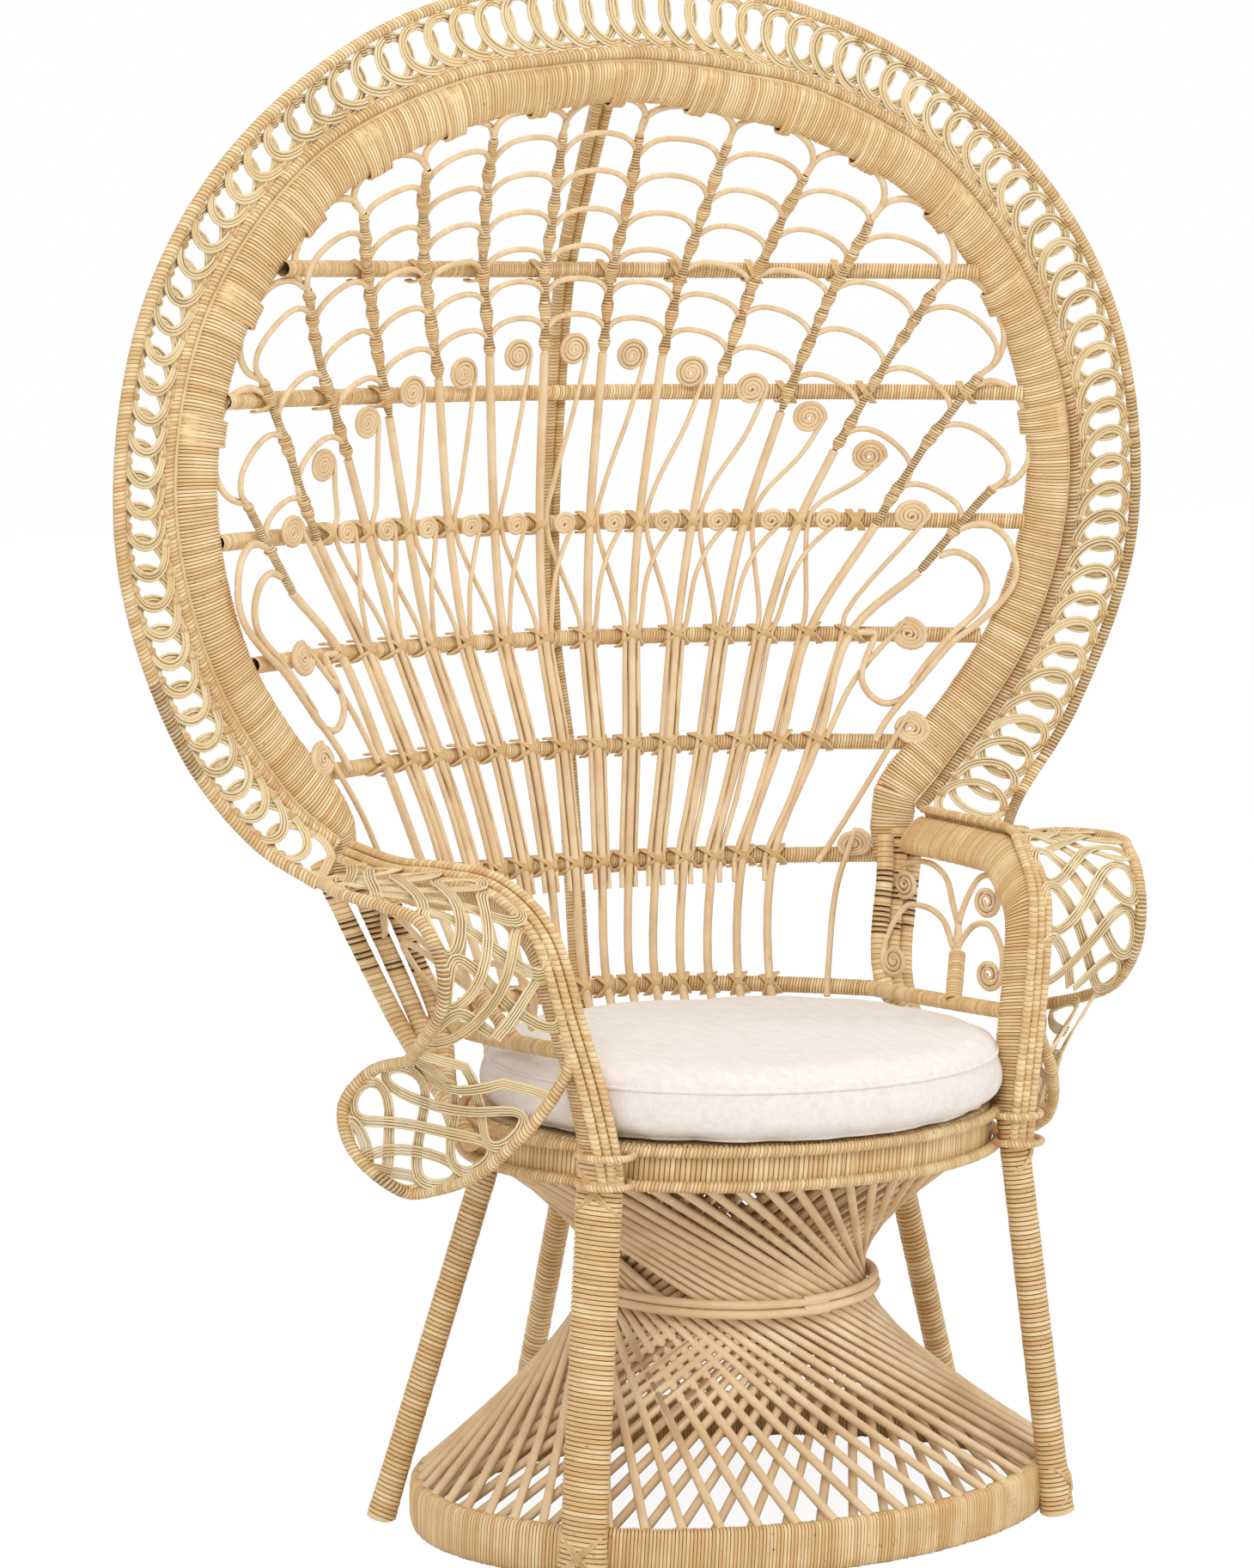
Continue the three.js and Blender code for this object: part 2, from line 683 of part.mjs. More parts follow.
// One long stake; from the fourth rail to below the sixth the rods of two scrolls are lashed to its
// sides, so it is three rods wide there
function stakeBundle(position) {
  const alone = 1;
  const bound = (stakeRadius + 2 * scrollRodRadius) / stakeRadius;
  const farCoil = 64;
  const foot = chainPlace(position, 1);
  const top = { x: foot.x, z: foot.z - chainRadius };
  const places = [{ ...top, width: alone }];
  for (let rail = firstStakeRail; rail <= railHeights.length; rail += 1) {
    const place = stakePlace(position, rail);
    if (place.z > top.z - 2 * railRadius) continue;
    if (rail === joinRail) places.push({ ...stakeBetween(position, rail, joinShare), width: alone });
    const isBound = rail >= joinRail && rail <= cutRail;
    places.push({ ...place, width: isBound ? bound : alone });
    if (rail === cutRail) places.push({ ...stakeBetween(position, rail + 1, 1 - joinShare), width: alone });
  }
  const path = places.map(({ x, z, width }) =>
    bowlPoint(x, z, stakeForward + (width > alone ? bundleClearance : 0)));
  const seatShare = 0.94;
  const seatX = seatShare * stakePlace(position, railHeights.length).x;
  path.push(point(seatX, seatRearY(seatX), seatHeight - 2 * stakeRadius));
  const widths = [...places.map(({ width }) => width), alone];
  const stake = sweep(path, roundOutline(stakeRadius, rodSides), {
    facing: (i) => bowlNormal(path[i].x, path[i].z),
    scale: (i) => widths[i],
  });
  const pieces = [trimmed(stake, seatHeight + gap, rimHeight)];
  const join = stakeBetween(position, joinRail, joinShare / 2);
  if (position > 0) {
    const coil = scrollPlace(position);
    const rod = [bowlPoint(coil.x + upperScrollRadius - scrollRodRadius, coil.z, scrollForward)];
    if (coil.z > railHeights[firstStakeRail - 1] + upperScrollRadius) {
      const beside = stakePlace(position - 1, firstStakeRail);
      const clear = stakeRadius + scrollRodRadius + crossingClearance / 2;
      const approach = Math.min(2 * lowerScrollRadius, (coil.z - beside.z) / 2);
      if (coil.x - beside.x > farCoil) {
        const above = chainPlace(position - 1, 1);
        const stakeX = mix(beside.x, above.x, approach / (above.z - beside.z));
        rod.push(bowlPoint(stakeX + clear + scrollRodRadius, beside.z + approach, scrollForward));
      }
      rod.push(bowlPoint(beside.x + clear, beside.z, scrollForward));
    }
    rod.push(bowlPoint(join.x - scrollRodRadius, join.z, scrollForward));
    pieces.push(bowlSweep(rod, scrollRodRadius, rodSides));
    pieces.push(scrollCoil(coil, upperScrollRadius, scrollForward));
  }
  if (position > 0 && position < positionCount - 2) {
    const left = stakePlace(position, firstStakeRail);
    const right = stakePlace(position + 1, firstStakeRail);
    const coil = { x: (left.x + right.x) / 2, z: left.z };
    const over = scrollForward + 2 * scrollRodRadius + crossingClearance;
    const crossing = stakeBetween(position, joinRail, 1 / 2);
    const side = coil.x + lowerScrollRadius - scrollRodRadius;
    const rod = [bowlPoint(side, coil.z, scrollForward),
      bowlPoint(side - scrollRodRadius, coil.z - lowerScrollRadius + scrollRodRadius, over),
      bowlPoint((crossing.x + coil.x) / 2, crossing.z, over),
      bowlPoint(join.x + scrollRodRadius, join.z, scrollForward)];
    pieces.push(bowlSweep(rod, scrollRodRadius, rodSides));
    pieces.push(scrollCoil(coil, lowerScrollRadius, scrollForward));
  }
  return fuse(pieces);
}

// Rings of the base and seat. Angle 0 is the front, a quarter turn is the right side.
const ringSteps = 32;

function ringPoint(halfWidth, halfDepth, centreY, z, angle) {
  return point(halfWidth * Math.sin(angle), centreY - halfDepth * Math.cos(angle), z);
}

// A point outside (or, with a negative distance, inside) a ring, square to its curve
function besideRing(halfWidth, halfDepth, centreY, z, angle, distance) {
  const outward = point(Math.sin(angle) / halfWidth, -Math.cos(angle) / halfDepth, 0).normalize();
  return ringPoint(halfWidth, halfDepth, centreY, z, angle).addScaledVector(outward, distance);
}

// The ring's sides touch the oval halfway along each
function ringPath(halfWidth, halfDepth, centreY, z, steps = ringSteps) {
  const path = [];
  const corner = 1 / Math.cos(Math.PI / steps);
  for (let i = 0; i < steps; i += 1) {
    path.push(ringPoint(halfWidth * corner, halfDepth * corner, centreY, z, (fullTurn * i) / steps));
  }
  return path;
}

function ringSweep(halfWidth, halfDepth, centreY, z, outline, steps = ringSteps) {
  const path = ringPath(halfWidth, halfDepth, centreY, z, steps);
  const facing = (i) => point(path[i].x, path[i].y - centreY, 0);
  return sweep(path, outline, { closed: true, facing });
}

function baseRing() {
  const inset = baseThickness / 2;
  return ringSweep(baseHalfWidth - inset, baseHalfDepth - inset, baseCentreY, baseHeight / 2,
    barOutline(baseThickness, baseHeight));
}

function seatRing() {
  return ringSweep(seatBandHalfWidth, seatBandHalfDepth, seatCentreY, seatHeight - apronHeight / 2,
    barOutline(apronThickness, apronHeight));
}

function seatBead(z) {
  return ringSweep(seatHalfWidth - seatBeadRadius, seatHalfDepth - seatBeadRadius, seatCentreY, z,
    roundOutline(seatBeadRadius, rodSides));
}

function seatDeck() {
  const inset = apronThickness / 2 + gap;
  const outline = ringPath(seatBandHalfWidth - inset, seatBandHalfDepth - inset, seatCentreY, 0)
    .map((p) => new THREE.Vector2(p.x, p.y));
  const options = { depth: deckThickness, bevelEnabled: false };
  const slab = new THREE.ExtrudeGeometry(new THREE.Shape(outline), options);
  return slab.translate(0, 0, seatHeight - deckThickness);
}

// Cushion: a crowned top and a flat underside, with the sides drawn in between the two seams
function seatCushion() {
  const drawn = 1 - cushionDrawIn / cushionHalfWidth;
  const profileShares = [[0, 0], [0.9, 0], [0.985, 0.03], [1, 0.1], [drawn, 0.5], [1, 0.9], [0.985, 1]];
  const profile = profileShares.map(([wide, high]) => new THREE.Vector2(wide, high * cushionSide));
  const crownSteps = 4;
  for (let i = 1; i <= crownSteps; i += 1) {
    const angle = (Math.PI / 2) * (i / crownSteps);
    const edge = profileShares[profileShares.length - 1][0];
    profile.push(new THREE.Vector2(i < crownSteps ? edge * Math.cos(angle) : 0,
      cushionSide + cushionCrown * Math.sin(angle)));
  }
  const round = new THREE.LatheGeometry(profile, ringSteps);
  round.rotateX(Math.PI / 2);
  round.scale(cushionHalfWidth, cushionHalfDepth, 1);
  return round.translate(0, cushionCentreY, seatHeight + gap);
}

// Legs

const frontSeatAngle = 0.89;
const frontBaseAngle = 0.84;
const sideSeatAngle = 1.95;
const sideBaseAngle = 1.99;

function frontLeg(side) {
  const offset = frontLegThickness / 2 + legClearance;
  const atSeat = besideRing(seatHalfWidth, seatHalfDepth, seatCentreY, frontLegTop,
    side * frontSeatAngle, offset);
  const atBase = besideRing(baseHalfWidth, baseHalfDepth, baseCentreY, baseHeight,
    side * frontBaseAngle, offset);
  const atHeight = (z) => atBase.clone().lerp(atSeat, (z - baseHeight) / (atSeat.z - baseHeight));
  const outward = point(side * Math.sin(frontSeatAngle) / seatHalfWidth,
    -Math.cos(frontSeatAngle) / seatHalfDepth, 0);
  const ends = [atHeight(-legOverrun), atHeight(frontLegTop + legOverrun)];
  const leg = sweep(ends, ovalOutline(frontLegThickness / 2, frontLegWidth / 2, legSides), {
    facing: () => outward,
    scale: (i) => (i === 0 ? frontFootWidth / frontLegWidth : 1),
  });
  return trimmed(leg, 0, frontLegTop);
}

function sideLegLine(side) {
  const atBase = besideRing(baseHalfWidth, baseHalfDepth, baseCentreY, baseHeight,
    side * sideBaseAngle, sideLegRadius + sideLegClearance);
  const inside = apronThickness / 2 + sideLegRadius + sideLegRoom;
  const under = seatHeight - deckThickness - gap;
  const top = besideRing(seatBandHalfWidth, seatBandHalfDepth, seatCentreY, under,
    side * sideSeatAngle, -inside);
  const foot = atBase.clone().lerp(top, -baseHeight / (top.z - baseHeight));
  return [foot, top];
}

const overrun = ([from, to]) => [from.clone().lerp(to, -legOverrun / from.distanceTo(to)),
  to.clone().lerp(from, -legOverrun / from.distanceTo(to))];

function sideLeg(side) {
  const leg = sweep(overrun(sideLegLine(side)), roundOutline(sideLegRadius, legSides));
  return trimmed(leg, 0, seatHeight - deckThickness - gap);
}

function rearLeg() {
  const top = bowlPoint(0, seatHeight, -spineBehind);
  const leg = sweep(overrun([point(0, rearFootBack, 0), top]), roundOutline(rearLegRadius, legSides));
  return trimmed(leg, 0, seatHeight);
}

// Skirt: straight stakes from the seat ring to the waist and on to the base ring, tangent to the waist

function segmentDistance(a, b, c, d) {
  const samples = 40;
  let least = Infinity;
  const first = new THREE.Line3(a, b);
  const place = point(0, 0, 0);
  const nearest = point(0, 0, 0);
  for (let i = 0; i <= samples; i += 1) {
    first.at(i / samples, place);
    new THREE.Line3(c, d).closestPointToPoint(place, true, nearest);
    least = Math.min(least, place.distanceTo(nearest));
  }
  return least;
}

// One stake, from the waist up to the seat ring (level 1) or down to the base ring (level -1)
function skirtStakeLine(angle, level) {
  const middle = ringPoint(waistRadius, waistRadius, waistCentreY, waistHeight, angle);
  if (level > 0) {
    const z = seatHeight - apronHeight - gap;
    return [middle, ringPoint(seatBandHalfWidth, seatBandHalfDepth, seatCentreY, z, angle - skirtTwist)];
  }
  const inset = baseThickness / 2;
  const [halfWidth, halfDepth] = [baseHalfWidth - inset, baseHalfDepth - inset];
  return [middle, ringPoint(halfWidth, halfDepth, baseCentreY, baseHeight + gap, angle + skirtTwist)];
}

// A level slice through a leaning stake, with its flats along and across the skirt at that place.
// Its corners run round it anticlockwise seen from above.
function stakeSlice([from, to], z) {
  const centre = from.clone().lerp(to, (z - from.z) / (to.z - from.z));
  const outward = point(centre.x, centre.y - waistCentreY, 0).normalize();
  const round = point(-outward.y, outward.x, 0);
  const halfAlong = (direction) =>
    skirtStakeRadius * Math.sqrt(1 + (to.clone().sub(from).dot(direction) / (to.z - from.z)) ** 2);
  const [halfOut, halfRound] = [halfAlong(outward), halfAlong(round)];
  return [[1, -1], [1, 1], [-1, 1], [-1, -1]].map(([out, along]) => centre.clone()
    .addScaledVector(outward, out * halfOut).addScaledVector(round, along * halfRound));
}

// The stakes touch where they are bound at the waist, so the skirt is one solid: a collar with a
// stake growing up and a stake growing down from each of its parts
function skirt() {
  const faces = faceList();
  const angleOf = (i) => (fullTurn * i) / skirtStakes;
  const legs = [sideLegLine(-1), sideLegLine(1)];
  const clear = sideLegRadius + skirtStakeRadius + legRoom;
  const collar = [];
  for (let i = 0; i < skirtStakes; i += 1) {
    const corner = (radius, level) => faces.corner(ringPoint(radius, radius, waistCentreY,
      waistHeight + (level * collarHeight) / 2, angleOf(i)));
    const inner = waistRadius - skirtStakeRadius;
    const outer = waistRadius + skirtStakeRadius;
    collar.push({ innerLow: corner(inner, -1), innerHigh: corner(inner, 1),
      outerLow: corner(outer, -1), outerHigh: corner(outer, 1) });
  }
  for (let i = 0; i < skirtStakes; i += 1) {
    const here = collar[i];
    const next = collar[(i + 1) % skirtStakes];
    faces.quad(here.outerLow, next.outerLow, next.outerHigh, here.outerHigh);
    faces.quad(next.innerLow, here.innerLow, here.innerHigh, next.innerHigh);
    const angle = angleOf(i + 1 / 2);
    for (const level of [1, -1]) {
      const line = skirtStakeLine(angle, level);
      let loop = level > 0
        ? [here.outerHigh, next.outerHigh, next.innerHigh, here.innerHigh]
        : [here.innerLow, next.innerLow, next.outerLow, here.outerLow];
      if (!legs.some(([a, b]) => segmentDistance(...line, a, b) < clear)) {
        for (const z of [waistHeight + level * (collarHeight / 2 + collarTaper), line[1].z]) {
          const slice = stakeSlice(line, z);
          const ring = (level > 0 ? slice : slice.reverse()).map(faces.corner);
          const from = loop;
          ring.forEach((corner, k) => {
            const after = (k + 1) % ring.length;
            faces.quad(from[k], from[after], ring[after], corner);
          });
          loop = ring;
        }
      }
      faces.quad(...loop);
    }
  }
  return faces.solid();
}

// The stakes spread above and below the waist, more so below, so the outer hoops lie a little off it
function waistHoop(level) {
  const spread = level > 0 ? upperHoopSpread : lowerHoopSpread;
  const radius = waistRadius + skirtStakeRadius + hoopRadius + spread;
  return ringSweep(radius, radius, waistCentreY, waistHeight + level * (hoopRadius + gap / 2),
    roundOutline(hoopRadius, rodSides), skirtStakes / 2);
}

// Arms: [share of the arm's half width, share of its reach forward, share of its height]
const armShares = [[0.985, -0.6, 1], [1, 0, 0.997], [0.95, 0.3, 1], [0.87, 0.58, 0.99], [0.81, 0.86, 0.93],
  [0.765, 0.99, 0.8], [0.73, 1.06, 0.7], [0.7, 1.11, 0.59]];
const armSteps = 12;

function armPath(side) {
  return smoothPath(armShares.map((shares) => armPoint(side, shares)), armSteps);
}

function armInward(side) {
  const path = armPath(side);
  const insideShare = 0.72;
  const inside = point(side * insideShare * armHalfWidth, 0, armInsideHeight);
  return path.map((p, i) => {
    const tangent = path[Math.min(i + 1, armSteps)].clone().sub(path[Math.max(i - 1, 0)]).normalize();
    const inward = inside.clone().sub(p);
    return inward.addScaledVector(tangent, -inward.dot(tangent)).normalize();
  });
}

function armPoles(side) {
  const inward = armInward(side);
  const outline = rowOutline(armPoleRadius, armPoleCount);
  const poles = sweep(armPath(side), outline, { facing: (i) => inward[i] });
  return trimmed(poles, frontLegTop + gap, rimHeight);
}

function armBandPath(side) {
  const inward = armInward(side);
  const inside = armPoleRadius + armClearance + armBandWidth / 2;
  return armPath(side).map((p, i) => p.addScaledVector(inward[i], inside));
}

function armBand(side) {
  const inward = armInward(side);
  const band = sweep(armBandPath(side), ovalOutline(armBandWidth / 2, armBandThickness / 2, thickSides), {
    facing: (i) => inward[i],
  });
  return trimmed(band, seatHeight + gap, rimHeight);
}

// Side rail inside each arm, from the struts to the front of the arm
const sideRailShares = [[0.74, -0.2, 0.73], [0.735, -0.08, 0.733], [0.731, 0.72, 0.747]];
const sideRailSteps = 6;
const armPoint = (side, [wide, reach, high]) =>
  point(side * wide * armHalfWidth, -reach * armReach, high * armHeight);
const sideRailPath = (side) =>
  smoothPath(sideRailShares.map((shares) => armPoint(side, shares)), sideRailSteps);
const sideRail = (side) => sweep(sideRailPath(side), roundOutline(sideRailRadius, thickSides));

// Scroll tree inside each arm: places as [share along the side rail, share up to the band]
const armTreeShares = [
  { arch: [[0.3, 0.6], [0.22, 0.86], [0.14, 0.94]], coil: [0.08, 0.77] },
  { arch: [[0.34, 0.38], [0.26, 0.56], [0.14, 0.56]], coil: [0.08, 0.24] },
  { arch: [[0.4, 0.64], [0.42, 0.86], [0.48, 0.94]], coil: [0.53, 0.76] },
  { arch: [[0.44, 0.42], [0.54, 0.6], [0.68, 0.6]], coil: [0.77, 0.33] },
];

const armStemShares = [[0.48, 0.02], [0.41, 0.4]];
const armForkShares = [0.44, 0.22];
const armTurnShare = 0.05;

function armTree(side) {
  const archSteps = 4;
  const topSteps = 8;
  const rail = sideRailPath(side);
  const top = smoothPath(armBandPath(side).slice(0, topSteps), topSteps);
  const panelPoint = ([along, up]) => {
    const low = alongPath(rail, along);
    low.z += sideRailRadius + armStemClearance;
    const high = alongPath(top, along);
    high.z -= armBandWidth / 2 + gap;
    return low.lerp(high, up);
  };
  const pieces = [sweep(armStemShares.map(panelPoint), roundOutline(armStemRadius, poleSides))];
  for (const { arch, coil } of armTreeShares) {
    const centre = panelPoint(coil);
    const crest = centre.clone().add(point(0, 0, armScrollRadius - armScrollRodRadius));
    const path = smoothPath([panelPoint(armForkShares), ...arch.map(panelPoint), crest], archSteps);
    pieces.push(sweep(path, roundOutline(armScrollRodRadius, rodSides)));
    const along = panelPoint([coil[0] + armTurnShare, coil[1]]).sub(centre);
    const normal = along.cross(point(0, 0, 1)).normalize().multiplyScalar(armScrollRodRadius);
    const ends = [centre.clone().sub(normal), centre.clone().add(normal)];
    pieces.push(sweep(ends, roundOutline(armScrollRadius, poleSides)));
  }
  return fuse(pieces);
}

// Wings: the rim leaves the hoop at the waist, rounds the arm and dips in a lower lobe beside the seat:
// [share of the wing's half width, share of the arm's reach, share of the arm's height]
const wingShares = [[0.893, -0.284, 0.969], [0.952, 0.05, 0.986], [0.998, 0.377, 0.986],
  [0.952, 0.613, 0.975], [0.907, 0.809, 0.958], [0.884, 0.922, 0.906], [0.875, 0.912, 0.843],
  [0.882, 0.716, 0.778], [0.857, 0.51, 0.748], [0.821, 0.333, 0.731], [0.859, 0.093, 0.705],
  [0.905, 0.015, 0.657], [0.914, 0.074, 0.614], [0.896, 0.162, 0.578], [0.848, 0.25, 0.545],
  [0.798, 0.25, 0.529], [0.766, 0.343, 0.537], [0.73, 0.623, 0.572], [0.687, 0.819, 0.626],
  [0.646, 0.917, 0.672], [0.61, 0.95, 0.712]];
const wingSteps = 24;
const wingPath = (side) => smoothPath(wingShares.map(([wide, reach, high]) =>
  point(side * wide * wingHalfWidth, -reach * armReach, high * armHeight)), wingSteps);
const wingRim = (side) => sweep(wingPath(side), roundOutline(wingRimRadius, poleSides));

// Each wing holds two nets of loops: one between the arm's poles and the rim, one across the lobe
const upperLaceLoops = 6;
const lowerLaceLoops = 4;

// Steps of the rim and of the arm's poles between which each net lies
const upperLaceSteps = [1, 10];
const lobeFrontSteps = [18, 24];
const lobeRearSteps = [10, 16];

function upperWingLace(side) {
  const rim = wingPath(side).slice(...upperLaceSteps);
  const poles = armPath(side).slice(...upperLaceSteps);
  const margins = [armPoleCount * armPoleRadius + armClearance, laceMargin];
  return loopChain(poles, rim, upperLaceLoops, margins, wingRibbonWidth, wingRibbonThickness);
}

function lowerWingLace(side) {
  const whole = wingPath(side);
  const front = whole.slice(...lobeFrontSteps).reverse();
  const rear = whole.slice(...lobeRearSteps);
  const margins = [laceMargin, laceMargin];
  return loopChain(front, rear, lowerLaceLoops, margins, wingRibbonWidth, wingRibbonThickness);
}

// Three struts stand side by side under the waist of the hoop, beside the last cross rail, and bend
// forward round the outside of the seat: [share of the arm's half width, of its reach, of its height]
const strutShares = [
  [[0.982, -0.73, 0.925], [0.857, -0.466, 0.74]],
  [[0.906, -0.672, 0.92], [0.804, -0.42, 0.74]],
  [[0.836, -0.608, 0.915], [0.751, -0.377, 0.74]],
];
const strutSeatAngles = [1.63, 1.58, 1.53];
const strutTurn = 0.2;

function struts(side) {
  const outside = strutRadius + strutClearance;
  const above = seatHeight + strutRadius + strutClearance;
  const below = seatHeight - apronHeight / 2;
  const pieces = strutShares.map((shares, i) => {
    const path = shares.map((place) => armPoint(side, place));
    for (const [turn, z] of [[strutTurn, above], [0, below]]) {
      const angle = side * (strutSeatAngles[i] + turn);
      path.push(besideRing(seatHalfWidth, seatHalfDepth, seatCentreY, z, angle, outside));
    }
    return sweep(path, roundOutline(strutRadius, thickSides));
  });
  return fuse(pieces);
}

addPiece('arch_rim', archRim(), wrappedCane);
addPiece('arch_bead', archBead(), wrappedCane);
addPiece('arch_band', archBand(), wrappedCane);
addPiece('lace_ring', laceRing(), laceCane);
for (let rail = 1; rail <= railShares.length; rail += 1) {
  addPiece(`cross_rail_${rail}`, crossRail(rail), wrappedCane);
}
addPiece('back_spine', backSpine(), wrappedCane);
addPiece('scallop_screen', scallopScreen(), peeledRattan);
for (let position = 0; position < positionCount; position += 1) {
  addPiece(`back_stake_${position + 1}`, stakeBundle(position), peeledRattan);
}
addPiece('base_ring', baseRing(), wrappedCane);
addPiece('seat_ring', seatRing(), wrappedCane);
addPiece('seat_top_bead', seatBead(seatHeight - seatBeadRadius), wrappedCane);
addPiece('seat_bottom_bead', seatBead(seatHeight - apronHeight + seatBeadRadius), wrappedCane);
addPiece('seat_deck', seatDeck(), wrappedCane);
addPiece('seat_cushion', seatCushion(), canvasCloth);
addPiece('skirt_stakes', skirt(), peeledRattan);
addPiece('waist_hoop_upper', waistHoop(1), peeledRattan);
addPiece('waist_hoop_lower', waistHoop(-1), peeledRattan);
addPiece('rear_leg', rearLeg(), wrappedCane);
for (const side of [-1, 1]) {
  addPiece(`${sideName(side)}_front_leg`, frontLeg(side), wrappedCane);
  addPiece(`${sideName(side)}_side_leg`, sideLeg(side), wrappedCane);
  addPiece(`${sideName(side)}_arm_poles`, armPoles(side), wrappedCane);
  addPiece(`${sideName(side)}_arm_band`, armBand(side), wrappedCane);
  addPiece(`${sideName(side)}_side_rail`, sideRail(side), wrappedCane);
  addPiece(`${sideName(side)}_arm_scrolls`, armTree(side), peeledRattan);
  addPiece(`${sideName(side)}_wing_rim`, wingRim(side), wrappedCane);
  addPiece(`${sideName(side)}_upper_wing_lace`, upperWingLace(side), laceCane);
  addPiece(`${sideName(side)}_lower_wing_lace`, lowerWingLace(side), laceCane);
  addPiece(`${sideName(side)}_struts`, struts(side), wrappedCane);
}

// The origin goes to the middle of the footprint's box, on the floor
const middle = new THREE.Box3().setFromObject(model).getCenter(point(0, 0, 0));
model.children.forEach((mesh) => mesh.geometry.translate(0, -middle.y, 0));

export default model;
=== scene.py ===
"""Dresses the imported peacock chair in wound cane, peeled rattan, cane lace and canvas.

The chair faces -Y. Sizes are in millimetres, as in the part's own source, and become metres when a
guide line or a rod is drawn. Wound poles are one turn of cane, arrayed and bent along a guide line.
"""

import logging
import math
from collections.abc import Callable, Sequence
from dataclasses import dataclass
from enum import Enum

import bmesh
import bpy
import numpy as np
from mathutils import Matrix, Vector
from mathutils.bvhtree import BVHTree


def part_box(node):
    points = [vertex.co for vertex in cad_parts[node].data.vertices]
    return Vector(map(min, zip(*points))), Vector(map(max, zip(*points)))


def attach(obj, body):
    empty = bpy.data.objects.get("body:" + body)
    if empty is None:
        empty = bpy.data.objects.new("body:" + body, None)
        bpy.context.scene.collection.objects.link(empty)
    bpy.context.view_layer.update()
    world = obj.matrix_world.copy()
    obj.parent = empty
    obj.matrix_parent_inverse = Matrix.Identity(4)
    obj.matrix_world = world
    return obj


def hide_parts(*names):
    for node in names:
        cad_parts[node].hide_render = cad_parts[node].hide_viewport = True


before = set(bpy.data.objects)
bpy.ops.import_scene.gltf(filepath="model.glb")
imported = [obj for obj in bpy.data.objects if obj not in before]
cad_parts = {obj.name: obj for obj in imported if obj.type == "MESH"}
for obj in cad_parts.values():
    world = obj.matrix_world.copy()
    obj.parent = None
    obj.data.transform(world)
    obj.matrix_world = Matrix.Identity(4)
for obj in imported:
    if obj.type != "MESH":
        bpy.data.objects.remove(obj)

log = logging.getLogger("peacock_chair")

MM = 0.001
FRAME_BODY = "chair_frame"
CUSHION_BODY = "cushion"
SIDES = (-1, 1)
SIDE_NAMES = {-1: "left", 1: "right"}

Path = list[Vector]
Facing = Callable[[int], Vector]


# Points and paths


def mix(a: float, b: float, share: float) -> float:
    """Returns the value at a share of the way from a to b."""
    return a + (b - a) * share


def spline(points: Sequence[Vector], steps: int = 12) -> Path:
    """Draws a centripetal Catmull-Rom curve through points.

    Args:
        points: The points it passes through.
        steps: Pieces between two neighbouring points.

    Returns:
        The points of the curve, ends included.
    """
    first = points[0] * 2 - points[1]
    last = points[-1] * 2 - points[-2]
    knots = [first, *points, last]
    curve: Path = []
    for i in range(1, len(knots) - 2):
        p0, p1, p2, p3 = knots[i - 1 : i + 3]
        t1 = math.sqrt((p1 - p0).length)
        t2 = t1 + math.sqrt((p2 - p1).length)
        t3 = t2 + math.sqrt((p3 - p2).length)
        for k in range(steps):
            t = mix(t1, t2, k / steps)
            a1 = p0 * ((t1 - t) / t1) + p1 * (t / t1)
            a2 = p1 * ((t2 - t) / (t2 - t1)) + p2 * ((t - t1) / (t2 - t1))
            a3 = p2 * ((t3 - t) / (t3 - t2)) + p3 * ((t - t2) / (t3 - t2))
            b1 = a1 * ((t2 - t) / t2) + a2 * (t / t2)
            b2 = a2 * ((t3 - t) / (t3 - t1)) + a3 * ((t - t1) / (t3 - t1))
            curve.append(b1 * ((t2 - t) / (t2 - t1)) + b2 * ((t - t1) / (t2 - t1)))
    curve.append(points[-1].copy())
    return curve


def path_length(path: Sequence[Vector], closed: bool = False) -> float:
    """Returns the length of a path, with its closing piece if it is closed."""
    total = sum((b - a).length for a, b in zip(path, path[1:]))
    return total + ((path[0] - path[-1]).length if closed else 0.0)


def along(path: Sequence[Vector], share: float) -> Vector:
    """Returns the point at a share of a path's length."""
    left = share * path_length(path)
    for a, b in zip(path, path[1:]):
        step = (b - a).length
        if left <= step:
            return a.lerp(b, left / max(step, 1e-9))
        left -= step
    return path[-1].copy()


def evenly(path: Sequence[Vector], spacing: float) -> Path:
    """Returns the same path with points a given distance apart."""
    count = max(2, round(path_length(path) / spacing))
    return [along(path, i / count) for i in range(count + 1)]


def tangents(path: Sequence[Vector], closed: bool = False) -> list[Vector]:
    """Returns the direction of a path at each of its points."""
    count = len(path)
    found = []
    for i in range(count):
        before = path[i - 1] if i or closed else None
        after = path[(i + 1) % count] if i < count - 1 or closed else None
        total = Vector()
        if before is not None:
            total += (path[i] - before).normalized()
        if after is not None:
            total += (after - path[i]).normalized()
        found.append(total.normalized())
    return found


def straight(start: Vector, end: Vector, steps: int = 12) -> Path:
    """Returns points along a straight line, ends included."""
    return [start.lerp(end, k / steps) for k in range(steps + 1)]


def facing_to(direction: Vector) -> Facing:
    """Returns a facing that is the same all along a path."""
    return lambda _: direction


def read_table(table: Sequence[tuple[float, float]], place: float) -> float:
    """Reads a table of places and values along straight lines between its rows."""
    places, values = zip(*table)
    return float(np.interp(place, places, values))


def mirrored(points: Sequence[Vector]) -> Path:
    """Returns points on the other side of the chair."""
    return [Vector((-p.x, p.y, p.z)) for p in points]


# Finishes


